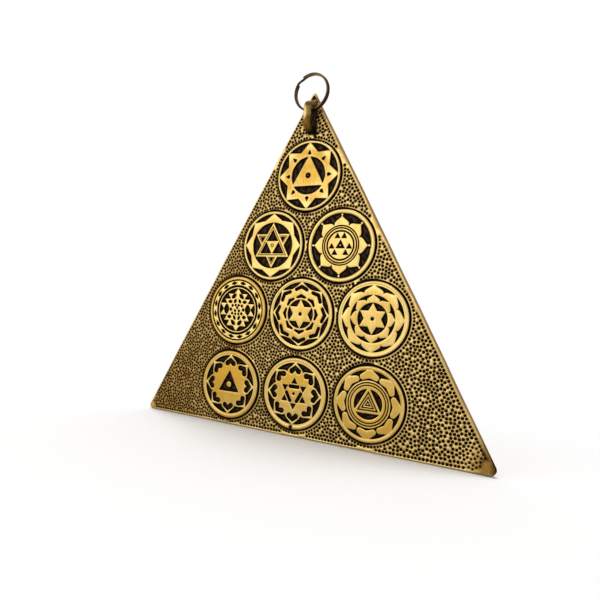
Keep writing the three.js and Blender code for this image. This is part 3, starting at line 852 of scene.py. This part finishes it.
def makeMedallion(name):
    look = {**sharedLook, **medallionLooks[name]}
    seed = sorted(places).index(name)
    size, crest, foot = medallion["radius"], medallion["crest"], medallion["foot"]
    thin = look["thin"]

    def motif(p):
        shiftU = medallion["wobble"] * unevenness(p[0], p[1], 5.0, 100 + seed)
        shiftV = medallion["wobble"] * unevenness(p[0], p[1], 5.0, 200 + seed)
        return look["motif"]((p[0] + shiftU, p[1] + shiftV))

    u, v = snapToWalls(faceGrid[:, 0], faceGrid[:, 1], motif, (thin - crest, thin + foot))
    cells, lines = motif((u, v))
    cells = cells - thin
    radius = np.hypot(u, v)

    # heights of the face and the rim, before anything is sunk in them
    rimStart = size - look["rim"]
    face = medallion["faceHeight"] + medallion["dome"] * (1 - (radius / size) ** 2)
    face += look["bulge"] * (1 - smoothStep(0, look["bulgeRadius"], radius))
    face -= 0.06 * smoothStep(rimStart - 0.5, rimStart, radius)
    height = np.where(radius > rimStart, rimProfile(radius, look["rim"]), face)
    height += 0.02 * unevenness(u, v, 9.0, 300 + seed)
    pillow = np.exp(-np.maximum(-cells - crest, 0) / medallion["pillowReach"])
    height -= medallion["pillow"] * pillow * (radius < rimStart + 0.4)

    # cells, lines and flaw, with a painted glint in patches on the wider cell floors
    deep = smoothStep(-crest, foot, cells)
    floorHeight = medallion["faceHeight"] - medallion["cellDepth"] + 0.05 * unevenness(u, v, 1.7, 400 + seed)
    # painted glint: on the wider cell floors the patina value climbs above one in patches
    patches = np.clip(0.5 + 0.9 * unevenness(u, v, 2.4, 500 + seed), 0, 1)
    patinaAndShading = smoothStep(*medallionPatinaAndShading["cells"], cells) + growth(medallionPatinaAndShading["thick"], cells) * patches
    if lines is not None:
        height -= medallion["grooveDepth"] * smoothStep(*medallionPatinaAndShading["grooveWall"], lines)
        dark = smoothStep(*medallionPatinaAndShading["lines"], lines - 0.5 * thin)
        patinaAndShading = np.maximum(patinaAndShading, look["lineDark"] * dark)
    if look["flaw"]:
        flawU, flawV, flawRadius = look["flaw"]
        away = np.hypot(u - flawU, v - flawV) * (1 + 0.25 * unevenness(u, v, 1.1, 7))
        flaw = smoothStep(flawRadius, 0.3 * flawRadius, away)
        height -= 0.3 * flaw
        patinaAndShading = np.maximum(patinaAndShading, flaw)
    height = height * (1 - deep) + np.minimum(floorHeight, height) * deep
    patinaAndShading = np.maximum(patinaAndShading, growth(medallionPatinaAndShading["seam"], size - radius))

    # the wall round it and the flat back
    centreX, centreZ = places[name]
    front = np.stack([centreX + u, medallion["backY"] - height, centreZ + v], axis=1)
    count = medallion["segments"]
    back = front[:count].copy()
    back[:, 1] = medallion["backY"]
    hub = np.array([[centreX, medallion["backY"], centreZ]])
    points = np.concatenate([front, back, hub])
    rim = np.arange(count)
    under = len(front) + np.arange(count)
    wall = np.stack([rim, under, np.roll(under, -1), np.roll(rim, -1)], axis=1)
    cover = np.stack([under, np.full(count, len(points) - 1), np.roll(under, -1)], axis=1)

    # browning and painted shade: the middle, with painted shade mostly on its upper left, fading out towards the rim, a
    # share of the front's painted shade, and the rim by itself; the crests next to the cells get a painted highlight
    x, z = points[:, 0] - centreX, points[:, 2] - centreZ
    fromMiddle = np.hypot(x, z)
    shade = smoothStep(-9, 9, z - 0.5 * x)
    middleToneAndShade = look["ochreAndShade"][0] * shade + look["ochreAndShade"][1] * (1 - shade)
    reach = look["ochreAndShadeReach"]
    # painted highlight: the crests next to the cells are made paler
    crestHighlight = np.exp(-np.maximum(-cells - medallionPatinaAndShading["crestHighlightAt"], 0) / medallionPatinaAndShading["crestHighlightReach"])
    crestHighlight = np.concatenate([crestHighlight * (radius < rimStart), np.zeros(count + 1)])
    browningAndShading = 0.35 * frontBrowningAndShade(points[:, 0], points[:, 2]) + middleToneAndShade * smoothStep(reach + 1.5, reach - 1.5, fromMiddle)
    browningAndShading *= 1 - medallionPatinaAndShading["crestHighlight"] * crestHighlight
    browningAndShading += look["rimBrown"] * smoothStep(rimStart - 0.2, rimStart + 0.2, fromMiddle)
    makePiece(
        "disc_" + name, "medallion_" + name, "hanging", points,
        np.concatenate([faceQuads, wall])[:, ::-1], np.concatenate([faceTriangles, cover])[:, ::-1],
        np.concatenate([patinaAndShading, np.ones(count + 1)]), browningAndShading, "medallion_brass",
    )


for name in medallionLooks:
    makeMedallion(name)
print("stage: nine medallions are made,", len(faceGrid), "points each")


# Plate: a rounded outline, a face full of punched pits, seats for the medallions and a plain back

pits = {
    "sides": 8, "depth": 0.42, "depthSpread": (0.75, 1.1), "lip": 1.05, "crown": 0.09,
    "rings": ((0.89, 0.25, 0.95), (0.55, 0.85, 1.0)),   # inside each lip: share of its size, of its depth, and how dark
    "radius": (0.8, 0.62), "spacing": (1.7, 1.54),      # on the right and on the left
    "leftShare": (40, -70),
    "radiusSpread": 0.06, "nearCorner": (20, 9, 0.3),   # smaller by the right corner
    "borders": (1.25, 1.45, 2.0),      # from the left, lower and right edge to the outermost row
    "rowSpacing": 1.72, "rowEnds": 3.5, "rowWaver": 0.15,
    "ringOut": 1.4,        # from a seat's wall to the first ring of pits round it
    "ringSpacing": 1.62, "ringWaver": 0.12, "heldApart": 1.3,
    "scatter": 170000, "scatterApart": 0.81,    # how many places are tried, and how close, as a share of the spacing
    "rounds": 14, "neighbours": 6, "push": 0.4, "pushLimit": 0.3,   # how the pits push each other apart
    "clearCorners": (8.5, 4.0, 6.5),
    "loopFeet": (-14.4, -28.5), "loopHalfWidth": 2.4, "loopReach": 2.8,   # no pits where the loop's feet stand
}

cornerSteps = 8
edgeSteps = 60
seatSteps = 120


def unit(vector):
    return vector / np.linalg.norm(vector)


def roundedCorner(before, corner, after, radius):
    back, ahead = unit(before - corner), unit(after - corner)
    half = math.acos(float(back.dot(ahead))) / 2
    centre = corner + unit(back + ahead) * radius / math.sin(half)
    start = corner + back * radius / math.tan(half) - centre
    end = corner + ahead * radius / math.tan(half) - centre
    first = math.atan2(start[1], start[0])
    sweep = (math.atan2(end[1], end[0]) - first) % (2 * math.pi)
    angles = first + sweep * np.linspace(0, 1, cornerSteps + 1)
    return centre + radius * np.stack([np.cos(angles), np.sin(angles)], axis=1)


# From the tip down the left edge, along the base and up the right edge, each a little bowed and filed by hand
def plateOutline():
    tip = np.array([0.0, plate["tipZ"]])
    low = plate["tipZ"] - plate["height"]
    left = np.array([plate["baseShift"] - plate["base"] / 2, low + plate["baseSkew"]])
    right = np.array([plate["baseShift"] + plate["base"] / 2, low - plate["baseSkew"]])
    corners = [
        roundedCorner(right, tip, left, plate["tipRadius"]),
        roundedCorner(tip, left, right, plate["leftRadius"]),
        roundedCorner(left, right, tip, plate["rightRadius"]),
    ]
    points = []
    for i, corner in enumerate(corners):
        points.extend(corner)
        start, end = corner[-1], corners[(i + 1) % 3][0]
        side = end - start
        outward = unit(np.array([side[1], -side[0]]))
        bow = 0.0 if i == 1 else plate["sideBow"]
        for k in range(1, edgeSteps):
            share = k / edgeSteps
            waver = 0.06 * math.sin(share * 17 + i) + 0.04 * math.sin(share * 41 + 2 * i)
            points.append(start + side * share + outward * (4 * bow * share * (1 - share) + waver))
    return np.array(points)


def insetLoop(points, distance):
    along = np.roll(points, -1, axis=0) - np.roll(points, 1, axis=0)
    along /= np.linalg.norm(along, axis=1)[:, None]
    return points + np.stack([-along[:, 1], along[:, 0]], axis=1) * distance


outline = plateOutline()
sideStep = len(outline) // 3
cornerPoints = [outline[k * sideStep + cornerSteps // 2] for k in range(3)]
rightCorner = cornerPoints[2]
seatCentres = np.array([places[name] for name in medallionLooks])
seatCircle = circlePoints(seatSteps, plate["seatRadius"])


def edgeDistance(x, z):
    return lineDistance((x, z), np.concatenate([outline, outline[:1]]))


def seatDistances(x, z):
    return np.hypot(x[:, None] - seatCentres[:, 0], z[:, None] - seatCentres[:, 1])


def clearOfSeats(x, z):
    return seatDistances(x, z).min(axis=1) - plate["seatRadius"]


def pitMeasure(key, x):
    share = float(smoothStep(*pits["leftShare"], np.array(x)))
    return pits[key][0] * (1 - share) + pits[key][1] * share


def pitTree(points):
    tree = kdtree.KDTree(len(points))
    for i, (x, z) in enumerate(points):
        tree.insert((x, z, 0), i)
    tree.balance()
    return tree


# Pits that stand closer than their spacing push each other apart; the rows along edges and seats hold
def spreadApart(placed):
    points = placed[:, :2].copy()
    free = np.flatnonzero(placed[:, 2] == 0)
    for _ in range(pits["rounds"]):
        tree = pitTree(points)
        push = np.zeros_like(points)
        for i in free:
            x, z = points[i]
            want = pitMeasure("spacing", x)
            for place, _, distance in tree.find_n((x, z, 0), pits["neighbours"] + 1)[1:]:
                if 0 < distance < want:
                    share = pits["push"] * (want - distance) / distance
                    push[i] += ((x - place.x) * share, (z - place.y) * share)
        points += np.clip(push, -pits["pushLimit"], pits["pushLimit"])
    return points


def pitBorder(x, z):
    left, base, right = pits["borders"]
    nearBase = z < plate["tipZ"] - plate["height"] + 4
    return np.where(nearBase, base, np.where(x > 0, right, left)) - 0.15


# Rings round the seats, rows along the edges and a scatter between them
def placePits():
    placed, cellsUsed, cellSize = [], {}, 1.5

    def crowded(x, z, apart):
        cx, cz = int(x // cellSize), int(z // cellSize)
        for i in range(cx - 1, cx + 2):
            for k in range(cz - 1, cz + 2):
                for ox, oz in cellsUsed.get((i, k), ()):
                    if (ox - x) ** 2 + (oz - z) ** 2 < apart**2:
                        return True
        return False

    def add(x, z, apart, held):
        if crowded(x, z, apart):
            return
        placed.append((x, z, held))
        cellsUsed.setdefault((int(x // cellSize), int(z // cellSize)), []).append((x, z))

    radius = plate["seatRadius"] + pits["ringOut"]
    count = int(2 * math.pi * radius / pits["ringSpacing"])
    waver = pits["ringWaver"]
    for centre in seatCentres:
        start = rng.uniform(0, 1)
        for k in range(count):
            angle = 2 * math.pi * (k + start + rng.uniform(-waver, waver)) / count
            add(centre[0] + radius * math.cos(angle), centre[1] + radius * math.sin(angle), pits["heldApart"], 1)

    ends, waver = pits["rowEnds"], pits["rowWaver"]
    for side, inset in enumerate(pits["borders"]):
        line = insetLoop(outline, inset)[side * sideStep + cornerSteps:(side + 1) * sideStep - 1]
        lengths = np.concatenate([[0], np.cumsum(np.linalg.norm(np.diff(line, axis=0), axis=1))])
        for s in np.arange(ends, lengths[-1] - ends, pits["rowSpacing"]):
            s += rng.uniform(-waver, waver)
            x, z = (float(np.interp(s, lengths, line[:, axis])) for axis in (0, 1))
            add(x, z, pits["heldApart"], 1)

    low, high = outline.min(axis=0), outline.max(axis=0)
    tries = np.random.default_rng(9).uniform(low, high, (pits["scatter"], 2))
    tries = tries[clearOfSeats(*tries.T) > pits["ringOut"] + 0.2]
    tries = tries[insideOutline(tries.T, outline[::4])]
    tries = tries[edgeDistance(*tries.T) > pitBorder(*tries.T)]
    for x, z in tries:
        add(float(x), float(z), pits["scatterApart"] * pitMeasure("spacing", x), 0)

    found = spreadApart(np.array(placed))
    x, z = found.T
    keep = insideOutline((x, z), outline) & (edgeDistance(x, z) > pitBorder(x, z))
    keep &= clearOfSeats(x, z) > pits["ringOut"] - 0.15
    for foot in pits["loopFeet"]:
        keep &= ~((np.abs(x) < pits["loopHalfWidth"]) & (np.abs(z - foot) < pits["loopReach"]))
    for corner, reach in zip(cornerPoints, pits["clearCorners"]):
        keep &= np.hypot(x - corner[0], z - corner[1]) > reach
    kept = found[keep]

    # no pit reaches its neighbour, the edge or the lines round a seat
    tree = pitTree(kept)
    sizes = []
    for x, z in kept:
        nearest = tree.find_n((x, z, 0), 2)[1][2]
        wanted = pitMeasure("radius", x) + rng.uniform(-1, 1) * pits["radiusSpread"]
        wanted *= 1 - float(growth(pits["nearCorner"], np.hypot(x - rightCorner[0], z - rightCorner[1])))
        sizes.append(min(wanted, (nearest / 2 - 0.03) / pits["lip"]))
    x, z = kept.T
    room = np.minimum(edgeDistance(x, z) - plate["edgeRound"], clearOfSeats(x, z) - plate["seamLoops"][-1]) - 0.06
    return np.column_stack([x, z, np.minimum(sizes, room / pits["lip"])])


def groundHeight(x, z):
    wave = 0.05 * unevenness(x, z, 14, 21) + 0.03 * unevenness(x, z, 4.5, 22)
    edge = np.minimum(edgeDistance(x, z), 3.0)
    return wave * smoothStep(0.3, 2.0, edge)


# The hollow between the two bright edges just under the tip
def tipHollow(x, z):
    down = plate["tipZ"] - z
    across = smoothStep(0.4, 0.8, edgeDistance(x, z))
    return across * smoothStep(1.5, 2.3, down) * smoothStep(6.4, 5.2, down)


# Points between the pits, where the ground rises to small crowns, a fine grid under the tip and a few anywhere
def loosePoints(pitList):
    loose = []
    drawn = geometry.delaunay_2d_cdt([Vector((x, z)) for x, z, _ in pitList], [], [], 0, 1e-5)
    for face in drawn[2]:
        middle = sum((drawn[0][k] for k in face), Vector((0, 0))) / 3
        loose.append((middle.x, middle.y))
    crowns = len(loose)
    for x in np.arange(-7, 7, 0.35):
        for z in np.arange(plate["tipZ"] - 9, plate["tipZ"], 0.35):
            loose.append((x + rng.uniform(-0.05, 0.05), z))
    low, high = outline.min(axis=0), outline.max(axis=0)
    for _ in range(1200):
        loose.append((rng.uniform(low[0], high[0]), rng.uniform(low[1], high[1])))
    loose = np.array(loose)
    clearOfPits = np.ones(len(loose), dtype=bool)
    for start in range(0, len(loose), 400):
        part = slice(start, start + 400)
        gap = np.hypot(loose[part, None, 0] - pitList[:, 0], loose[part, None, 1] - pitList[:, 1])
        clearOfPits[part] = (gap - pitList[:, 2] * pits["lip"]).min(axis=1) > 0.12
    keep = insideOutline(loose.T, outline) & (edgeDistance(*loose.T) > plate["edgeRound"] + 0.2)
    keep &= (clearOfSeats(*loose.T) > 0.55) & clearOfPits
    return loose[keep], int(keep[:crowns].sum())


# The front drawn flat and joined up into triangles: border, seats, the lines round them, the lips of the pits and the
# loose points
def drawFace(pitList):
    flat, lines = [], []

    def addLoop(points):
        start, count = len(flat), len(points)
        flat.extend((float(x), float(z)) for x, z in points)
        lines.extend((start + k, start + (k + 1) % count) for k in range(count))
        return start

    border = insetLoop(outline, plate["edgeRound"])
    addLoop(border)
    seatStarts = [addLoop(seatCircle + centre) for centre in seatCentres]
    for reach in plate["seamLoops"]:
        for centre in seatCentres:
            addLoop(seatCircle * (1 + reach / plate["seatRadius"]) + centre)
    sides = pits["sides"]
    pitStarts = [
        addLoop(circlePoints(sides, turn=rng.uniform(0, 1)) * radius * pits["lip"] + (x, z))
        for x, z, radius in pitList
    ]
    firstPit, firstCrown = pitStarts[0], len(flat)
    loose, crowns = loosePoints(pitList)
    flat.extend((float(x), float(z)) for x, z in loose)

    drawn = geometry.delaunay_2d_cdt([Vector(p) for p in flat], lines, [], 0, 1e-5)
    xz = np.array([(p.x, p.y) for p in drawn[0]])
    owner = np.full(len(xz), -1)       # the pit on whose lip a vertex lies
    crown = np.zeros(len(xz))
    vertexOf = np.zeros(len(flat), dtype=int)   # the vertex that each drawn point has become
    for i, sources in enumerate(drawn[3]):
        for source in sources:
            vertexOf[source] = i
            if firstPit <= source < firstCrown:
                owner[i] = (source - firstPit) // sides
            elif firstCrown <= source < firstCrown + crowns:
                crown[i] = 1.0

    triangles = np.array([face for face in drawn[2] if len(face) == 3])
    middle = xz[triangles].mean(axis=1).T
    a, b, c = (owner[triangles[:, k]] for k in range(3))
    inPit = (a >= 0) & (a == b) & (b == c)
    triangles = triangles[insideOutline(middle, border) & (clearOfSeats(*middle) > 0.01) & ~inPit]

    # turn every face towards the front
    a, b, c = (xz[triangles[:, k]] for k in range(3))
    turned = (b[:, 0] - a[:, 0]) * (c[:, 1] - a[:, 1]) - (b[:, 1] - a[:, 1]) * (c[:, 0] - a[:, 0]) < 0
    triangles[turned] = triangles[turned][:, ::-1]
    seatLips = [vertexOf[start + np.arange(seatSteps)] for start in seatStarts]
    pitLips = [vertexOf[start + np.arange(sides)] for start in pitStarts]
    return xz, triangles, owner, crown, vertexOf[:len(border)], seatLips, pitLips


# Adds points at a depth and says which they are
def addPoints(surface, xz, y, dark):
    count, first = len(xz), surface["count"]
    surface["count"] += count
    surface["points"].append(np.stack([xz[:, 0], np.zeros(count) + y, xz[:, 1]], axis=1))
    surface["patinaAndShading"].append(np.zeros(count) + dark)
    return first + np.arange(count)


def addEdgeLoop(surface, previous, xz, y, dark):
    current = addPoints(surface, xz, y, dark)
    surface["quads"].append(np.stack([previous, current, np.roll(current, -1), np.roll(previous, -1)], axis=1))
    return current


# Browning, patina, painted highlight and painted shadow on the plate alone, each as where it starts, where it is full
# and how much it is there. The edge entry is a painted highlight along the rounded border, the right entry a painted
# sheen that brightens the right side, and the entry by the loop a painted shadow under it
plateTones = {
    "edge": (1.7, 0.4, -0.3), "right": (15, 70, -0.08),
    "back": 0.42, "backPatches": 0.25, "backEdge": (9, 1, 0.2),
    "seam": (0.2, 0.0, 0.95), "lip": 0.42,
    "side": 0.2, "rightLine": 0.15,
    "alongRight": (4.5, 0.2, 0.26), "nearCorner": (22, 3), "corner": (8.0, 0.5, 0.18),
    "loopShadow": 0.85,
}


def makePlate():
    pitList = placePits()
    xz, triangles, owner, crown, previous, seatLips, pitLips = drawFace(pitList)
    x, z = xz.T
    faceY, edgeRound = plate["faceY"], plate["edgeRound"]

    hollow = tipHollow(x, z)
    height = groundHeight(x, z) - 0.55 * hollow - pits["crown"] * ((owner >= 0) - 0.3 * crown)
    away = seatDistances(x, z)
    leftward = (seatCentres[np.argmin(away, axis=1), 0] - x) / away.min(axis=1)
    right, left = plate["seam"]
    seamReach = right + (left - right) * smoothStep(-0.5, 0.8, leftward)
    seam = growth(plateTones["seam"], clearOfSeats(x, z) - seamReach)
    patinaAndShading = np.maximum(np.where(owner >= 0, plateTones["lip"], 0.0) + hollow, seam)
    surface = {"points": [], "count": 0, "patinaAndShading": [], "quads": [], "triangles": [triangles]}
    addPoints(surface, xz, faceY - height, patinaAndShading)

    # pits: rings of points below each lip and one at the bottom
    for (x, z, _), lip in zip(pitList, pitLips):
        depth = pits["depth"] * rng.uniform(*pits["depthSpread"])
        upper = lip
        for share, sink, dark in pits["rings"]:
            steps = (x, z) + (xz[lip] - (x, z)) * share
            lower = addPoints(surface, steps, faceY + depth * sink - height[lip], dark)
            surface["quads"].append(between(upper, lower))
            upper = lower
        bottom = addPoints(surface, np.array([[x, z]]), faceY + depth - height[lip].mean(), 1.0)
        surface["triangles"].append(fan(upper, bottom[0]))

    # seats: an upright wall and a flat floor
    floorY = faceY + plate["seatDepth"]
    for lip, centre in zip(seatLips, seatCentres):
        foot = addPoints(surface, seatCircle + centre, floorY, 1.0)
        hub = addPoints(surface, centre[None, :], floorY, 1.0)
        surface["quads"].append(between(lip, foot))
        surface["triangles"].append(fan(foot, hub[0]))

    # edge and back, from the border on: loops that round over, go down and round in again, and close up over the back
    backY = faceY + plate["thickness"]
    for bend in np.radians((30, 60, 90)):
        inset = insetLoop(outline, edgeRound * (1 - math.sin(bend)))
        previous = addEdgeLoop(surface, previous, inset, faceY + edgeRound * (1 - math.cos(bend)), 0.0)
    for bend in np.radians((0, 45, 90)):
        inset = insetLoop(outline, edgeRound * (1 - math.cos(bend)))
        previous = addEdgeLoop(surface, previous, inset, backY - edgeRound * (1 - math.sin(bend)), 0.12)
    hub = outline.mean(axis=0)
    for share in np.linspace(1, 0, plate["backRings"] + 2)[1:-1]:
        inset = hub + (insetLoop(outline, edgeRound) - hub) * share
        y = backY - 0.05 * smoothStep(1, 0.9, share) * (1 + unevenness(inset[:, 0], inset[:, 1], 17, 31))
        previous = addEdgeLoop(surface, previous, inset, y, 0.1)
    middle = addPoints(surface, hub[None, :], backY - 0.05, 0.1)
    surface["triangles"].append(fan(previous, middle[0])[:, (0, 2, 1)])

    points = np.concatenate(surface["points"])
    x, y, z = points.T
    edge = edgeDistance(x, z)
    isBack = y > faceY + 1.0
    side = smoothStep(0.2, 0.5, y - faceY) * (edge < 0.6)
    fromRight = lineDistance((x, z), outline[2 * sideStep + cornerSteps // 2:])
    fromCorner = np.hypot(x - rightCorner[0], z - rightCorner[1])
    rightLine = smoothStep(0.75, 0.3, fromRight)
    # painted highlight along the rounded border, painted sheen brightening the right side, the front's browning and
    # painted shade, and darker side walls and right edge
    browningAndShading = frontBrowningAndShade(x, z) + growth(plateTones["edge"], edge) * (~isBack) + growth(plateTones["right"], x)
    browningAndShading += side + rightLine
    backDull = plateTones["back"] + plateTones["backPatches"] * unevenness(x, z, 60, 33)
    browningAndShading = np.where(isBack & (edge > 0.6), backDull + growth(plateTones["backEdge"], edge), browningAndShading)
    dark = np.concatenate(surface["patinaAndShading"]) + plateTones["side"] * side + plateTones["rightLine"] * rightLine
    dark += growth(plateTones["alongRight"], fromRight) * smoothStep(*plateTones["nearCorner"], fromCorner)
    dark += growth(plateTones["corner"], fromCorner)
    # painted shadow on the plate under the loop, between its feet
    loopShadowMask = smoothStep(2.5, 1.8, np.abs(x - 0.35)) * smoothStep(-32, -27, z) * smoothStep(-15, -19, z)
    dark += plateTones["loopShadow"] * loopShadowMask * (~isBack)
    makePiece(
        "pitted_plate", "plate", "hanging", points,
        np.concatenate(surface["quads"]), np.concatenate(surface["triangles"]), dark, browningAndShading, "plate_brass",
    )
    return len(pitList), len(points)


print("stage: the plate is made, pits and points:", makePlate())


# Loop and split ring: sections carried along a line

def sweep(path, across, sectionAt):
    tangent = np.gradient(path, axis=0)
    tangent /= np.linalg.norm(tangent, axis=1)[:, None]
    across = np.broadcast_to(np.asarray(across, float), path.shape)
    side = across - tangent * (across * tangent).sum(axis=1)[:, None]
    side /= np.linalg.norm(side, axis=1)[:, None]
    out = np.cross(tangent, side)
    last = len(path) - 1
    rings = []
    for i, centre in enumerate(path):
        section = sectionAt(i / last)
        rings.append(centre + section[:, :1] * side[i] + section[:, 1:] * out[i])
    count = len(rings[0])
    first = np.arange(count)
    quads = [between(first + i * count, first + (i + 1) * count) for i in range(last)]
    hub = len(path) * count
    ends = [fan(first, hub)[:, (1, 0, 2)], fan(first + last * count, hub + 1)]
    return np.concatenate(rings + [path[:1], path[-1:]]), np.concatenate(quads), np.concatenate(ends)


loop = {
    "width": 3.8, "thickness": 2.8, "openingDepth": 4.2, "openingHeight": 10.0,
    "bend": 3.2, "shoulderRise": 1.1, "openingTop": -15.744,
    "sides": 28, "squareness": 3.2,
    "flare": 0.28, "flareReach": 0.07,      # wider at both feet, over this share of the bar's length
    "solderGap": 0.1,
}

ring = {
    "outer": 19.2, "wire": 1.15, "gap": 0.1, "firstEnd": -33.0, "joggle": 27.0,
    "steps": 420, "sides": 18, "endRound": 0.22,
}


def loopPath():
    top = loop["openingTop"] + loop["thickness"] / 2
    bottom = loop["openingTop"] - loop["openingHeight"] - loop["thickness"] / 2
    foot = plate["faceY"] - loop["solderGap"]
    front = plate["faceY"] - loop["openingDepth"] - loop["thickness"] / 2
    bend = loop["bend"]
    legSteps, bendSteps, barSteps = 10, 12, 12

    def straight(a, b, steps):
        return [a + (b - a) * k / steps for k in range(steps)]

    def curve(a, b, c, steps):
        return [(1 - t) ** 2 * a + 2 * t * (1 - t) * b + t**2 * c for t in np.arange(steps) / steps]

    corners = [np.array(p, float) for p in (
        (foot, top + loop["shoulderRise"]), (front + bend, top), (front, top), (front, top - bend),
        (front, bottom + bend), (front, bottom), (front + bend, bottom), (foot, bottom),
    )]
    line = straight(corners[0], corners[1], legSteps) + curve(*corners[1:4], bendSteps)
    line += straight(corners[3], corners[4], barSteps) + curve(*corners[4:7], bendSteps)
    line += straight(corners[6], corners[7], legSteps) + [corners[7]]
    return np.array([(0.0, y, z) for y, z in line])


def makeLoop():
    cosine, sine = circlePoints(loop["sides"]).T
    power = 2 / loop["squareness"]
    wide = np.sign(cosine) * np.abs(cosine) ** power * loop["width"] / 2
    thick = np.sign(sine) * np.abs(sine) ** power * loop["thickness"] / 2

    def section(share):
        fromEnd = min(share, 1 - share)
        flare = 1 + loop["flare"] * max(0.0, 1 - fromEnd / loop["flareReach"]) ** 2
        waist = 1 - 0.03 * math.sin(math.pi * share) ** 2 + 0.015 * math.sin(share * 31)
        return np.stack([wide * flare * waist, thick * flare * waist], axis=1)

    points, quads, ends = sweep(loopPath(), (1, 0, 0), section)
    points[:, 1] = np.minimum(points[:, 1], plate["faceY"] - 0.02)
    x, y, z = points.T
    # Painted shade: darker at the lower end, which faces down, on the right side, away from the light, near the plate
    # where the legs meet it and inside the lower bend; the top shoulder is made darker too
    lower, upper = smoothStep(-20.5, -25, z), smoothStep(-20, -16, z)
    foot, inner = smoothStep(-0.6, 2.2, y), smoothStep(-2.6, 0.5, y)
    patinaAndShading = np.clip((0.85 - 0.55 * upper) * foot + 0.5 * lower * inner + 0.26 * lower, 0, 1)
    browningAndShading = 0.1 + 0.8 * lower + 0.75 * smoothStep(-17.0, -15.2, z) + 0.72 * smoothStep(-0.7, 0.2, x)
    makePiece("bent_loop", "hanging_loop", "hanging", points, quads, ends, patinaAndShading, browningAndShading, "loop_brass")


# Two coils of wire, joined by a joggle from the front one to the back one
def makeRing():
    radius = (ring["outer"] - ring["wire"]) / 2
    centreZ = ring["wire"] / 2 - radius
    offset = (ring["wire"] + ring["gap"]) / 2
    coil = 360 - ring["joggle"]
    degrees = np.linspace(0, 2 * coil + ring["joggle"], ring["steps"] + 1)
    across = smoothStep(coil, coil + ring["joggle"], degrees)
    angle = np.radians(ring["firstEnd"] + degrees)
    path = np.stack([
        radius * np.sin(angle),
        -offset + 2 * offset * across,
        centreZ + radius * np.cos(angle),
    ], axis=1)

    def section(share):
        fromEnd = min(share, 1 - share) * ring["steps"]
        size = ring["wire"] / 2 * (1 - ring["endRound"] * max(0.0, 1 - fromEnd / 2) ** 2)
        return circlePoints(ring["sides"], size)

    points, quads, ends = sweep(path, (path - (0, 0, centreZ)) * (1, 0, 1), section)
    x, y, z = points.T
    # painted light and shade: the inner side of the wire lighter and the outer side darker, most on the right of the
    # ring, and the left part, below the top, darker, over a little random browning
    outer = (np.hypot(x, z - centreZ) - radius) / ring["wire"] * 2
    right = smoothStep(-2, 7, x)
    browningAndShading = (0.2 + 0.25 * right) * outer - 0.45 * right * (0.5 - 0.5 * outer)
    browningAndShading += 0.15 * unevenness(x, z, 9, 41) + 0.2 * smoothStep(-3, -8, x) * smoothStep(-1, -4, z)
    # painted shade between the two coils where they lie against each other
    dark = 0.8 * smoothStep(0.35, 0.05, np.abs(y))
    makePiece("wire_ring", "split_ring", "ring", points, quads, ends, dark, browningAndShading, "ring_bronze")


makeLoop()
makeRing()
print("stage: the loop and the ring are made")
